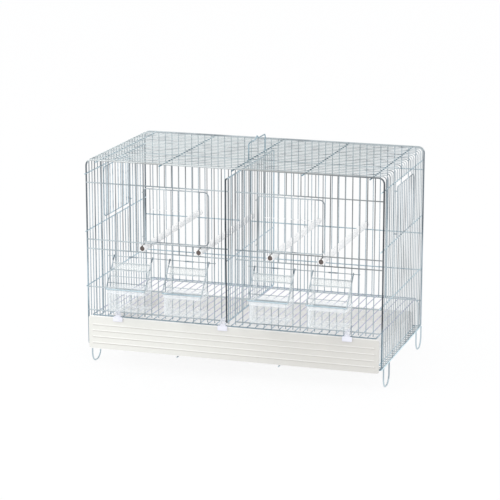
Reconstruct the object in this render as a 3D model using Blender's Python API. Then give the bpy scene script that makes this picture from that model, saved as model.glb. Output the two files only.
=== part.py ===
"""A wire bird cage with two compartments, as separate pieces at rest.

Lengths are in metres, +Z is up, +X is to the right and the front faces -Y.
Depths are measured behind the front wire plane, and heights above the ledge
that carries the tray.
"""

import math

import bmesh
import bpy
from mathutils import Vector

# Wire shell, between wire centres.
SHELL_WIDTH = 0.550
SHELL_DEPTH = 0.300
SHELL_HEIGHT = 0.343
LEDGE_Z = 0.040
MIDDLE_SHIFT = 0.0223
FRONT_Y = MIDDLE_SHIFT - SHELL_DEPTH / 2
CORNER_RADIUS = 0.0105
LOW_CORNER_RADIUS = 0.005

# Wire sizes. Every wire has a square section.
FRAME_WIRE = 0.0030
CROSS_WIRE = 0.0024
UPRIGHT_WIRE = 0.0018
DOOR_WIRE = 0.0020
ROD_WIRE = 0.0015
GAP = 0.0003
RAIL_GAP = 0.0008

# Front panel.
WIRE_PITCH = 0.0133
FIRST_UPRIGHT = 0.0064
LAST_UPRIGHT_CLEAR = 0.0040
SLOT_EDGE = 0.0058
TAIL_HEIGHT = 0.0601
DOOR_TOP_DROP = 0.0410
DOOR_TOP_WIRE = SHELL_HEIGHT - DOOR_TOP_DROP
DOOR_SILL_WIRE = 0.1974
FEEDER_TOP_WIRE = 0.1802
FEEDER_SILL_WIRE = 0.1093
LOW_WIRE = 0.0658
FIRST_FEEDER_EDGE = 3
FEEDER_PITCHES = 5
SECOND_FEEDER_EDGE = 11
DOOR_EDGE = 3
DOOR_PITCHES = 9

# Back panel.
BACK_FIRST_UPRIGHT = 0.00665
BACK_TOP_DROP = 0.0425
BACK_TOP_WIRE = SHELL_HEIGHT - BACK_TOP_DROP
BACK_MIDDLE_WIRE = 0.1796
BACK_LOW_WIRE = 0.1089
BACK_FOOT_WIRE = 0.0500
FLOOR_REST_RADIUS = 0.0080

# Sides and roof.
HOOP_SPACES = 22
SIDE_TOP_DROP = 0.0240
SIDE_TOP_RAIL = SHELL_HEIGHT - SIDE_TOP_DROP
SIDE_MIDDLE_RAIL = 0.2138
SIDE_LOW_RAIL = 0.1127
RAIL_FRONT_END = -0.012
ROOF_OUTER_INSET = 0.0225
ROOF_OUTER_RAIL = SHELL_WIDTH / 2 - ROOF_OUTER_INSET
ROOF_INNER_INSET = 0.1435
ROOF_INNER_RAIL = SHELL_WIDTH / 2 - ROOF_INNER_INSET
ROOF_MIDDLE_RAIL = 0.0035
LEDGE_REACH = 0.0120
LEDGE_RAIL = SHELL_WIDTH / 2 - LEDGE_REACH
SIDE_DOOR_EDGE = 7
SIDE_DOOR_PITCHES = 9

# Wires and feet under the cage.
BASE_WIRE_LEFT = -0.102
BASE_WIRE_RIGHT = 0.089
BASE_WIRE_DROP = 0.0050
BASE_WIRE_FRONT = -0.012
FOOT_FRONT = 0.015
FOOT_BACK_INSET = 0.0366
FOOT_BACK = SHELL_DEPTH - FOOT_BACK_INSET
FOOT_LENGTH = 0.040
FOOT_BEND = 0.0170

# Tray.
FASCIA_SIDE_GAP = 0.0030
FASCIA_WIDTH = SHELL_WIDTH - 2 * FASCIA_SIDE_GAP
FASCIA_TOP = 0.057
FASCIA_BOTTOM = -0.005
FASCIA_FRONT = -0.0086
FASCIA_THICKNESS = 0.0020
FASCIA_RADIUS = 0.005
RIB_SIZE = 0.0022
RIB_PROUD = 0.0012
RIB_INSET = 0.0070
RIB_LENGTH = FASCIA_WIDTH - 2 * RIB_INSET
RIB_HEIGHTS = (0.041, 0.030, 0.0185, 0.007)
PAN_INSET = 0.0060
PAN_WIDTH = FASCIA_WIDTH - 2 * PAN_INSET
PAN_BACK_GAP = 0.0150
PAN_BACK = SHELL_DEPTH - PAN_BACK_GAP
PAN_WALL = 0.0020
PAN_HEIGHT = 0.030

# Floor grid, which slopes down to the back, and its clips.
GRID_SIDE_GAP = 0.0100
GRID_WIDTH = SHELL_WIDTH - 2 * GRID_SIDE_GAP
GRID_FRONT = -0.0049
GRID_BACK_GAP = 0.0030
GRID_BACK = SHELL_DEPTH - GRID_BACK_GAP
GRID_FRONT_HEIGHT = 0.0585
GRID_BACK_HEIGHT = 0.0543
GRID_SPACES = 36
GRID_EDGE_WIRE = 0.0022
CLIP_INSET = 0.0575
CLIP_MIDDLE = -0.0150
CLIP_WIDTH = 0.0180
CLIP_NECK_WIDTH = 0.0105
CLIP_LOW = 0.050
CLIP_TOP = 0.072
CLIP_THICKNESS = 0.0030
CLIP_TAPER = 0.0006
CLIP_CAP = 0.0020

# Divider between the two compartments, pulled partly out at rest.
DIVIDER_X = 0.0035
DIVIDER_THICKNESS = 0.0028
DIVIDER_FRONT = -0.0465
DIVIDER_BACK_GAP = 0.0140
DIVIDER_DEPTH = SHELL_DEPTH - DIVIDER_BACK_GAP
DIVIDER_TOP_GAP = 0.0085
DIVIDER_TOP = SHELL_HEIGHT - DIVIDER_TOP_GAP
DIVIDER_BOTTOM = 0.0745
DIVIDER_MIDDLE = 0.187
DIVIDER_SPACES = 22
DIVIDER_UPRIGHT = 0.0016
DIVIDER_CROSS = 0.0011
DIVIDER_STUB = 0.0030

# Carry handle on the middle roof rail; its eyes stand clear of these two hoops.
HANDLE_FRONT_HOOP = 6
HANDLE_FRONT_PAST = 0.0042
HANDLE_BACK_HOOP = 14
HANDLE_BACK_SHORT = 0.0064
HANDLE_REACH = 0.0330
HANDLE_KINK = 0.0055
HANDLE_KINK_HALF = 0.009
HANDLE_EYE_INNER = 0.0021
HANDLE_EYE_OUTER = 0.0037
HANDLE_RADIUS = 0.006

# Perches.
PERCH_DIAMETER = 0.012
PERCH_BORE = 0.009
PERCH_HEIGHT = 0.1892
PERCH_FRONT = -0.010
PERCH_PAST = 0.0045
PERCH_BACK = SHELL_DEPTH + PERCH_PAST
PERCH_SLOT = 0.0030
PERCH_SLOT_PAST = 0.0030
PERCH_SIDES = 16

# Feeders: cup, hood, flap and the rod that the flaps hang on.
CUP_WIDTH = 0.074
CUP_BOTTOM_WIDTH = 0.0712
CUP_FRONT = -0.046
CUP_BOTTOM_FRONT = -0.0444
CUP_BOTTOM = 0.078
CUP_RIM = 0.1175
CUP_WALL = 0.0016
CUP_LIP = 0.0012
CUP_LIP_HEIGHT = 0.0055
CUP_CORNER = 0.008
CUP_ROUND = 0.0040
CUP_TAB_WIDTH = 0.052
CUP_TAB_DEPTH = 0.005
CUP_TAB_THICKNESS = 0.0020
ROD_HEIGHT = 0.170
ROD_INNER_END = 0.030
ROD_OUTER_END = 0.235
ROD_SLEEVE_LENGTH = 0.016
ROD_SLEEVE = 0.0027
FLAP_WIDTH = 0.0734
FLAP_LENGTH = 0.0665
FLAP_ANGLE = math.radians(40)
FLAP_BARS = 5
FLAP_FIRST_BAR = 0.0133
FLAP_EYE_INNER = 0.0015
FLAP_EYE_OUTER = 0.0028
HOOD_HALF_WIDTH = 0.0335
HOOD_WALL = 0.0014
HOOD_TOP = 0.163
HOOD_BAND = 0.0060
HOOD_DEPTH = 0.0310

# Doors.
DOOR_HINGE_OFFSET = 0.0030
DOOR_OVERLAP = 0.0039
DOOR_BOTTOM = 0.201
DOOR_TOP_GAP = 0.0040
DOOR_TOP = DOOR_TOP_WIRE - DOOR_TOP_GAP
SIDE_DOOR_BOTTOM = 0.219
SIDE_DOOR_TOP_GAP = 0.0070
SIDE_DOOR_TOP = SIDE_TOP_RAIL - SIDE_DOOR_TOP_GAP
DOOR_FREE_RADIUS = 0.009
DOOR_HINGE_RADIUS = 0.003
DOOR_EYE_INNER = 0.0017
DOOR_EYE_OUTER = 0.0031
DOOR_EYE_INSET = 0.008
PULL_DROP = 0.0380
PULL_HEIGHT = DOOR_TOP - PULL_DROP
PULL_WIRE = 0.0012
PULL_START = 0.0135
PULL_LENGTH = 0.0900
BEAD_DIAMETER = 0.0080
BEAD_OFFSET = 0.0030

ARC_STEPS = 4
EYE_SIDES = 8

HALF = SHELL_WIDTH / 2
WIRE_TOP = SHELL_HEIGHT - FRAME_WIRE / 2 - GAP
INNER_EDGE = HALF - FRAME_WIRE / 2 - GAP
PANEL_START = FRAME_WIRE / 2 + GAP
PANEL_END = SHELL_DEPTH - FRAME_WIRE / 2 - GAP
HOOP_PITCH = SHELL_DEPTH / HOOP_SPACES
HANDLE_FRONT = HANDLE_FRONT_HOOP * HOOP_PITCH + HANDLE_FRONT_PAST
HANDLE_BACK = HANDLE_BACK_HOOP * HOOP_PITCH - HANDLE_BACK_SHORT
RAIL_X = INNER_EDGE - CROSS_WIRE / 2
RAIL_HEIGHT = WIRE_TOP - CROSS_WIRE / 2
DOOR_DEPTH = -CROSS_WIRE / 2 - RAIL_GAP - DOOR_WIRE / 2
ROD_DEPTH = -UPRIGHT_WIRE / 2 - GAP - ROD_WIRE / 2

X_AXIS = Vector((1, 0, 0))
Y_AXIS = Vector((0, 1, 0))
Z_AXIS = Vector((0, 0, 1))


def at(x, depth, height):
    """The point at x, this far behind the front plane and this far above the ledge."""
    return Vector((x, FRONT_Y + depth, LEDGE_Z + height))


def block(x, depth, height):
    """A box; each argument is its low and high side."""
    points = [at(i, j, k) for k in height for j in depth for i in x]
    faces = [(0, 2, 3, 1), (4, 5, 7, 6), (0, 1, 5, 4), (2, 6, 7, 3), (0, 4, 6, 2), (1, 3, 7, 5)]
    return points, faces


def span(middle, size):
    return middle - size / 2, middle + size / 2


def across(start, end, depth, height, size):
    """A straight wire from left to right."""
    return block((start, end), span(depth, size), span(height, size))


def backward(x, start, end, height, size):
    """A straight wire from front to back."""
    return block(span(x, size), (start, end), span(height, size))


def upright(x, depth, start, end, size):
    """A straight vertical wire."""
    return block(span(x, size), span(depth, size), (start, end))


def together(pieces):
    """Several separate bodies as one list of points and faces."""
    points, faces = [], []
    for piece_points, piece_faces in pieces:
        first = len(points)
        points.extend(piece_points)
        faces.extend(tuple(first + i for i in face) for face in piece_faces)
    return points, faces


def rounded(corners, radius, closed=False):
    """The corners as a path whose turns are arcs; radius may be one value for each corner."""
    count = len(corners)
    radii = radius if isinstance(radius, (list, tuple)) else [radius] * count
    path = []
    for i, corner in enumerate(corners):
        if radii[i] == 0 or (not closed and i in (0, count - 1)):
            path.append(corner)
            continue
        to_last = (corners[i - 1] - corner).normalized()
        to_next = (corners[(i + 1) % count] - corner).normalized()
        half = to_last.angle(to_next) / 2
        centre = corner + (to_last + to_next).normalized() * (radii[i] / math.sin(half))
        first = corner + to_last * (radii[i] / math.tan(half)) - centre
        last = corner + to_next * (radii[i] / math.tan(half)) - centre
        first.normalize()
        last.normalize()
        for step in range(ARC_STEPS + 1):
            path.append(centre + first.slerp(last, step / ARC_STEPS) * radii[i])
    return path


def bent_wire(path, normal, size, closed=False, depth=None):
    """A square wire along a path that lies in the plane with this normal."""
    points, faces, count = [], [], len(path)
    thick = size if depth is None else depth
    for i, here in enumerate(path):
        ways = []
        if closed or i > 0:
            ways.append((here - path[i - 1]).normalized())
        if closed or i < count - 1:
            ways.append((path[(i + 1) % count] - here).normalized())
        side = normal.cross(ways[0] + ways[-1]).normalized()
        stretch = 1 / math.cos(ways[0].angle(ways[-1]) / 2)
        for a, b in ((-1, -1), (1, -1), (1, 1), (-1, 1)):
            points.append(here + side * (a * size / 2 * stretch) + normal * (b * thick / 2))
    for i in range(count if closed else count - 1):
        this, after = 4 * i, 4 * ((i + 1) % count)
        for k in range(4):
            turn = (k + 1) % 4
            faces.append((this + k, this + turn, after + turn, after + k))
    if not closed:
        faces.append((3, 2, 1, 0))
        faces.append(tuple(4 * count - 4 + k for k in range(4)))
    return points, faces


def eye(centre, axis, inner, outer, width, sides=EYE_SIDES):
    """A short tube round an axis."""
    first = axis.orthogonal().normalized()
    second = axis.cross(first)
    points, faces = [], []
    for i in range(sides):
        turn = 2 * math.pi * (i + 0.5) / sides
        way = first * math.cos(turn) + second * math.sin(turn)
        for radius, shift in ((inner, -1), (outer, -1), (outer, 1), (inner, 1)):
            points.append(centre + way * radius + axis * (shift * width / 2))
    for i in range(sides):
        this, after = 4 * i, 4 * ((i + 1) % sides)
        for k in range(4):
            turn = (k + 1) % 4
            faces.append((this + k, this + turn, after + turn, after + k))
    return points, faces


def stacked(rings):
    """A closed body through rings of equally many points, capped at both ends."""
    count = len(rings[0])
    points = [point for ring in rings for point in ring]
    faces = [tuple(range(count))[::-1]]
    for level in range(len(rings) - 1):
        low, high = level * count, (level + 1) * count
        for i in range(count):
            j = (i + 1) % count
            faces.append((low + i, low + j, high + j, high + i))
    faces.append(tuple((len(rings) - 1) * count + i for i in range(count)))
    return points, faces


def new_object(name, shape):
    mesh = bpy.data.meshes.new(name)
    mesh.from_pydata([tuple(point) for point in shape[0]], [], shape[1])
    work = bmesh.new()
    work.from_mesh(mesh)
    bmesh.ops.recalc_face_normals(work, faces=work.faces)
    work.to_mesh(mesh)
    work.free()
    obj = bpy.data.objects.new(name, mesh)
    bpy.context.scene.collection.objects.link(obj)
    return obj


def combined(name, shapes, operation="UNION"):
    """The first shape joined with the others, or cut by them, as one body."""
    obj = new_object(name, shapes[0])
    tools = []
    for number, shape in enumerate(shapes[1:]):
        tool = new_object(f"{name}_tool_{number}", shape)
        modifier = obj.modifiers.new(f"join_{number}", "BOOLEAN")
        modifier.operation = operation
        modifier.solver = "EXACT"
        modifier.object = tool
        tools.append(tool)
    graph = bpy.context.evaluated_depsgraph_get()
    result = bpy.data.meshes.new_from_object(obj.evaluated_get(graph))
    obj.modifiers.clear()
    spare = obj.data
    obj.data = result
    bpy.data.meshes.remove(spare)
    for tool in tools:
        bpy.data.meshes.remove(tool.data)
    return obj


def material(name, colour, roughness, metallic=0.0, clear=0.0):
    """A plain surface; clear is the share of light that passes through."""
    made = bpy.data.materials.new(name)
    made.use_nodes = True
    shader = made.node_tree.nodes["Principled BSDF"]
    shader.inputs["Base Color"].default_value = (*colour, 1.0)
    shader.inputs["Roughness"].default_value = roughness
    shader.inputs["Metallic"].default_value = metallic
    shader.inputs["Transmission Weight"].default_value = clear
    made.diffuse_color = (*colour, 1.0)
    return made


def finish(obj, surface, smooth=False, origin=None):
    """Gives the object its surface, and puts its origin on its joint axis."""
    obj.data.materials.clear()
    obj.data.materials.append(surface.copy())
    obj.data.materials[0].name = f"{obj.name}_surface"
    for polygon in obj.data.polygons:
        polygon.use_smooth = smooth
    if origin is not None:
        for vertex in obj.data.vertices:
            vertex.co -= origin
        obj.location = origin
    return obj


def make_end_frame(name, depth, surface):
    corners = [at(-HALF, depth, 0), at(HALF, depth, 0)]
    corners += [at(HALF, depth, SHELL_HEIGHT), at(-HALF, depth, SHELL_HEIGHT)]
    low, high = LOW_CORNER_RADIUS, CORNER_RADIUS
    path = rounded(corners, [low, low, high, high], closed=True)
    return finish(new_object(name, bent_wire(path, Y_AXIS, FRAME_WIRE, closed=True)), surface)


def upright_x(index):
    return FIRST_UPRIGHT + index * WIRE_PITCH


def upright_count(first):
    """How many uprights stand between the first one and the side of the shell."""
    return math.floor((HALF - LAST_UPRIGHT_CLEAR - first) / WIRE_PITCH) + 1


def front_stretches(index):
    """The low and high ends of each stretch of one upright, round the openings."""
    first, second = FIRST_FEEDER_EDGE, SECOND_FEEDER_EDGE
    feeder_end = first + FEEDER_PITCHES
    second_end = second + FEEDER_PITCHES
    in_feeder = first < index < feeder_end or second < index < second_end
    in_door = DOOR_EDGE < index < DOOR_EDGE + DOOR_PITCHES
    low = [(TAIL_HEIGHT, FEEDER_SILL_WIRE)] if in_feeder else []
    start = FEEDER_TOP_WIRE if in_feeder else TAIL_HEIGHT
    if in_door:
        return [*low, (start, DOOR_SILL_WIRE), (DOOR_TOP_WIRE, WIRE_TOP)]
    return [*low, (start, WIRE_TOP)]


def make_front_panel(name, side, surface):
    """One half of the front, with openings for a door and two feeders."""
    uprights = [
        upright(side * upright_x(index), 0, low, high, UPRIGHT_WIRE)
        for index in range(upright_count(FIRST_UPRIGHT))
        for low, high in front_stretches(index)
    ]
    ends = sorted((side * SLOT_EDGE, side * INNER_EDGE))
    levels = (DOOR_TOP_WIRE, DOOR_SILL_WIRE, FEEDER_TOP_WIRE, FEEDER_SILL_WIRE, LOW_WIRE)
    wires = [across(ends[0], ends[1], 0, level, CROSS_WIRE) for level in levels]
    return finish(combined(name, [together(uprights), together(wires)]), surface)


def make_back_panel(name, surface):
    """The back, whose two lower cross wires lie outside the uprights."""
    rail_depth = SHELL_DEPTH + UPRIGHT_WIRE / 2 + GAP + CROSS_WIRE / 2
    uprights = []
    count = upright_count(BACK_FIRST_UPRIGHT)
    for index in range(count):
        outer = rail_depth if index == count - 1 else SHELL_DEPTH + UPRIGHT_WIRE / 2
        for side in (-1, 1):
            x = side * (BACK_FIRST_UPRIGHT + index * WIRE_PITCH)
            depth = (SHELL_DEPTH - UPRIGHT_WIRE / 2, outer)
            uprights.append(block(span(x, UPRIGHT_WIRE), depth, (BACK_FOOT_WIRE, WIRE_TOP)))
    wires = [
        across(-INNER_EDGE, INNER_EDGE, SHELL_DEPTH, level, CROSS_WIRE)
        for level in (BACK_TOP_WIRE, BACK_FOOT_WIRE)
    ]
    wires += [
        across(-INNER_EDGE, INNER_EDGE, rail_depth, level, CROSS_WIRE)
        for level in (BACK_MIDDLE_WIRE, BACK_LOW_WIRE)
    ]
    return finish(combined(name, [together(uprights), together(wires)]), surface)


def make_roof(name, surface):
    """Cross wires between two edge rails, over five rails from front to back."""
    hoops = []
    for index in range(1, HOOP_SPACES):
        ends_row = index in (1, HOOP_SPACES - 1)
        low = RAIL_HEIGHT - UPRIGHT_WIRE / 4 if ends_row else SHELL_HEIGHT - UPRIGHT_WIRE / 2
        height = (low, SHELL_HEIGHT + UPRIGHT_WIRE / 2)
        depth = span(index * HOOP_PITCH, UPRIGHT_WIRE)
        hoops.append(block((-RAIL_X, RAIL_X), depth, height))
    rails = [
        backward(side * RAIL_X, PANEL_START, PANEL_END, SHELL_HEIGHT, CROSS_WIRE)
        for side in (-1, 1)
    ]
    places = (-ROOF_OUTER_RAIL, -ROOF_INNER_RAIL, ROOF_MIDDLE_RAIL)
    for x in (*places, ROOF_INNER_RAIL, ROOF_OUTER_RAIL):
        rails.append(backward(x, RAIL_FRONT_END, PANEL_END, RAIL_HEIGHT, CROSS_WIRE))
    return finish(combined(name, [together(hoops), together(rails)]), surface)


def side_door_edges(side):
    """The numbers of the hoops at the hinge and at the free edge of a side door."""
    near, far = SIDE_DOOR_EDGE, SIDE_DOOR_EDGE + SIDE_DOOR_PITCHES
    return (far, near) if side < 0 else (HOOP_SPACES - far, HOOP_SPACES - near)


def make_side(name, side, surface):
    """One side: hoops between two edge rails, a door opening, and three inner rails."""
    edges = sorted(side_door_edges(side))
    hoops, bars, ties = [], [], []
    for index in range(1, HOOP_SPACES):
        stretches = [(0, SHELL_HEIGHT)]
        if edges[0] < index < edges[1]:
            stretches = [(0, SIDE_MIDDLE_RAIL), (SIDE_TOP_RAIL, SHELL_HEIGHT)]
        for low, high in stretches:
            hoops.append(upright(side * HALF, index * HOOP_PITCH, low, high, UPRIGHT_WIRE))
    for height in (0, SHELL_HEIGHT):
        bars.append(backward(side * HALF, PANEL_START, PANEL_END, height, CROSS_WIRE))
    for height in (SIDE_MIDDLE_RAIL, SIDE_TOP_RAIL):
        ends = [index * HOOP_PITCH for index in edges]
        bars.append(backward(side * HALF, ends[0], ends[1], height, CROSS_WIRE))
    for height in (SIDE_LOW_RAIL, SIDE_MIDDLE_RAIL, SIDE_TOP_RAIL):
        bars.append(backward(side * RAIL_X, RAIL_FRONT_END, PANEL_END, height, CROSS_WIRE))
        for index in (1, HOOP_SPACES - 1):
            reach = sorted((side * RAIL_X, side * HALF))
            ties.append(across(reach[0], reach[1], index * HOOP_PITCH, height, ROD_WIRE))
    return finish(combined(name, [together(hoops), together(bars), together(ties)]), surface)


def make_ledge(name, side, surface):
    """The hoops' inward ends, which carry the tray, joined by a rail."""
    reach = sorted((side * LEDGE_RAIL, side * (HALF - CROSS_WIRE / 2 - GAP)))
    stubs = [
        block(reach, span(index * HOOP_PITCH, UPRIGHT_WIRE), span(0, UPRIGHT_WIRE))
        for index in range(1, HOOP_SPACES)
    ]
    rail = backward(side * LEDGE_RAIL, PANEL_START, PANEL_END, 0, CROSS_WIRE)
    return finish(combined(name, [together(stubs), rail]), surface)


def make_base_wire(name, x, surface):
    """A wire under the frames that bends down and shows below the tray's front."""
    top = -FRAME_WIRE / 2 - GAP - CROSS_WIRE / 2
    low = top - BASE_WIRE_DROP
    path = [
        at(x, SHELL_DEPTH + FRAME_WIRE / 2, top),
        at(x, 2 * BASE_WIRE_DROP, top),
        at(x, BASE_WIRE_DROP, low),
        at(x, BASE_WIRE_FRONT, low),
    ]
    return finish(new_object(name, bent_wire(path, X_AXIS, CROSS_WIRE)), surface)


def make_floor_rest(name, surface):
    """The bent wire at the back that carries the floor grid."""
    depth = PANEL_END - 2 * GAP - CROSS_WIRE
    height = GRID_BACK_HEIGHT - GRID_EDGE_WIRE / 2 - GAP - CROSS_WIRE / 2
    corners = [at(-RAIL_X, depth, 0), at(-RAIL_X, depth, height)]
    corners += [at(RAIL_X, depth, height), at(RAIL_X, depth, 0)]
    path = rounded(corners, FLOOR_REST_RADIUS)
    return finish(new_object(name, bent_wire(path, Y_AXIS, CROSS_WIRE)), surface)


def make_foot(name, side, start, surface):
    """A wire loop that the cage stands on."""
    x = side * HALF
    top = -CROSS_WIRE / 2 - GAP
    low = FRAME_WIRE / 2 - LEDGE_Z
    corners = [at(x, start, top), at(x, start, low)]
    corners += [at(x, start + FOOT_LENGTH, low), at(x, start + FOOT_LENGTH, top)]
    path = rounded(corners, FOOT_BEND)
    return finish(new_object(name, bent_wire(path, X_AXIS, FRAME_WIRE)), surface)


def rectangle(half, front, back, height):
    return [
        at(-half, front, height),
        at(half, front, height),
        at(half, back, height),
        at(-half, back, height),
    ]


def make_tray(name, surface):
    """A shallow pan behind a tall front plate with four raised ribs."""
    back = FASCIA_FRONT + FASCIA_THICKNESS
    half = FASCIA_WIDTH / 2
    plate = []
    for depth in (FASCIA_FRONT, back):
        corners = [at(-half, depth, FASCIA_BOTTOM), at(half, depth, FASCIA_BOTTOM)]
        corners += [at(half, depth, FASCIA_TOP), at(-half, depth, FASCIA_TOP)]
        plate.append(rounded(corners, FASCIA_RADIUS, closed=True))
    low = FRAME_WIRE / 2 + GAP
    outer, inner = PAN_WIDTH / 2, PAN_WIDTH / 2 - PAN_WALL
    front = back - FASCIA_THICKNESS / 2
    pan = stacked([
        rectangle(outer, front, PAN_BACK, low),
        rectangle(outer, front, PAN_BACK, low + PAN_HEIGHT),
        rectangle(inner, front + PAN_WALL, PAN_BACK - PAN_WALL, low + PAN_HEIGHT),
        rectangle(inner, front + PAN_WALL, PAN_BACK - PAN_WALL, low + PAN_WALL),
    ])
    reach = (FASCIA_FRONT - RIB_PROUD, FASCIA_FRONT + FASCIA_THICKNESS / 2)
    ribs = [block(span(0, RIB_LENGTH), reach, span(height, RIB_SIZE)) for height in RIB_HEIGHTS]
    return finish(combined(name, [stacked(plate), pan, together(ribs)]), surface)


def grid_height(depth):
    """The height of the floor grid's plane at this depth."""
    share = (depth - GRID_FRONT) / (GRID_BACK - GRID_FRONT)
    return GRID_FRONT_HEIGHT + (GRID_BACK_HEIGHT - GRID_FRONT_HEIGHT) * share


def sloped(x, start, end, size):
    """A floor wire from front to back in the grid's plane."""
    return bent_wire([at(x, d, grid_height(d)) for d in (start, end)], X_AXIS, size)


def make_floor_grid(name, surface):
    half = GRID_WIDTH / 2
    wires = [
        sloped(-half + GRID_WIDTH * i / GRID_SPACES, GRID_FRONT, GRID_BACK, UPRIGHT_WIRE)
        for i in range(1, GRID_SPACES)
    ]
    corners = [at(-half, GRID_FRONT, GRID_FRONT_HEIGHT), at(half, GRID_FRONT, GRID_FRONT_HEIGHT)]
    corners += [at(half, GRID_BACK, GRID_BACK_HEIGHT), at(-half, GRID_BACK, GRID_BACK_HEIGHT)]
    fall = GRID_FRONT_HEIGHT - GRID_BACK_HEIGHT
    normal = Vector((0, fall, GRID_BACK - GRID_FRONT)).normalized()
    edge = bent_wire(corners, normal, GRID_EDGE_WIRE, closed=True)
    return finish(combined(name, [together(wires), edge]), surface)


def make_clip(name, x, surface):
    """A clip that hangs over the tray's front plate and holds the grid's front wire."""
    back = FASCIA_FRONT - GAP
    body = block(span(x, CLIP_WIDTH), (back - CLIP_THICKNESS, back), (CLIP_LOW, FASCIA_TOP + CLIP_CAP))
    neck_back = GRID_FRONT - GRID_EDGE_WIRE / 2 - 2 * GAP
    rings = []
    for height, narrow in ((FASCIA_TOP + GAP, 0.0), (CLIP_TOP, CLIP_TAPER)):
        half = CLIP_NECK_WIDTH / 2 - narrow
        front = back - CLIP_THICKNESS / 2
        rings.append([
            at(x - half, front, height),
            at(x + half, front, height),
            at(x + half, neck_back, height),
            at(x - half, neck_back, height),
        ])
    return finish(combined(name, [body, stacked(rings)]), surface)


def make_divider(name, surface):
    """A wire wall that slides through the slot between the front panels."""
    back = DIVIDER_FRONT + DIVIDER_DEPTH
    face = DIVIDER_X + DIVIDER_THICKNESS / 2 - GAP / 2
    uprights = [
        block(
            (face - DIVIDER_UPRIGHT, face),
            span(DIVIDER_FRONT + DIVIDER_DEPTH * i / DIVIDER_SPACES, DIVIDER_UPRIGHT),
            (DIVIDER_BOTTOM, DIVIDER_TOP),
        )
        for i in range(1, DIVIDER_SPACES)
    ]
    other = DIVIDER_X - DIVIDER_THICKNESS / 2 + GAP / 2
    reach = (DIVIDER_FRONT - DIVIDER_STUB, back)
    middle = block((other, other + DIVIDER_CROSS), reach, span(DIVIDER_MIDDLE, DIVIDER_CROSS))
    corners = [at(DIVIDER_X, DIVIDER_FRONT, DIVIDER_BOTTOM), at(DIVIDER_X, back, DIVIDER_BOTTOM)]
    corners += [at(DIVIDER_X, back, DIVIDER_TOP), at(DIVIDER_X, DIVIDER_FRONT, DIVIDER_TOP)]
    edge = bent_wire(corners, X_AXIS, CROSS_WIRE, closed=True, depth=DIVIDER_THICKNESS)
    return finish(combined(name, [edge, together([*uprights, middle])]), surface)


def make_handle(name, surface):
    """A bail whose two eyes turn on the middle roof rail."""
    x = ROOF_MIDDLE_RAIL
    pivot = at(x, (HANDLE_FRONT + HANDLE_BACK) / 2, RAIL_HEIGHT)
    top = RAIL_HEIGHT + HANDLE_REACH
    foot = RAIL_HEIGHT + (HANDLE_EYE_INNER + HANDLE_EYE_OUTER) / 2
    middle = (HANDLE_FRONT + HANDLE_BACK) / 2
    corners = [
        at(x, HANDLE_FRONT, foot),
        at(x, HANDLE_FRONT, top),
        at(x, middle - HANDLE_KINK_HALF, top),
        at(x, middle, top + HANDLE_KINK),
        at(x, middle + HANDLE_KINK_HALF, top),
        at(x, HANDLE_BACK, top),
        at(x, HANDLE_BACK, foot),
    ]
    soft = HANDLE_RADIUS / 3
    path = rounded(corners, [0, HANDLE_RADIUS, soft, soft, soft, HANDLE_RADIUS, 0])
    eyes = [
        eye(at(x, depth, RAIL_HEIGHT), Y_AXIS, HANDLE_EYE_INNER, HANDLE_EYE_OUTER, FRAME_WIRE, 12)
        for depth in (HANDLE_FRONT, HANDLE_BACK)
    ]
    bail = bent_wire(path, X_AXIS, CROSS_WIRE)
    return finish(combined(name, [bail, together(eyes)]), surface, origin=pivot)


def make_perch(name, x, surface):
    """A tube whose slotted ends hold on to one wire of the front and of the back."""
    middle = at(x, (PERCH_FRONT + PERCH_BACK) / 2, PERCH_HEIGHT)
    length = PERCH_BACK - PERCH_FRONT
    tube = eye(middle, Y_AXIS, PERCH_BORE / 2, PERCH_DIAMETER / 2, length, PERCH_SIDES)
    front = (PERCH_FRONT - PERCH_DIAMETER, UPRIGHT_WIRE / 2 + PERCH_SLOT_PAST)
    back = (SHELL_DEPTH - UPRIGHT_WIRE / 2 - PERCH_SLOT_PAST, PERCH_BACK + PERCH_DIAMETER)
    height = span(PERCH_HEIGHT, 2 * PERCH_DIAMETER)
    slots = [block(span(x, PERCH_SLOT), depth, height) for depth in (front, back)]
    return finish(combined(name, [tube, together(slots)], "DIFFERENCE"), surface)


def cup_ring(x, half, front, back, height, inset=0.0):
    """A level outline of the cup; inset makes its front corners smaller."""
    corners = [at(x - half, front, height), at(x + half, front, height)]
    corners += [at(x + half, back, height), at(x - half, back, height)]
    corner = CUP_CORNER - inset
    return rounded(corners, [corner, corner, CUP_WALL, CUP_WALL], closed=True)


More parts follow.
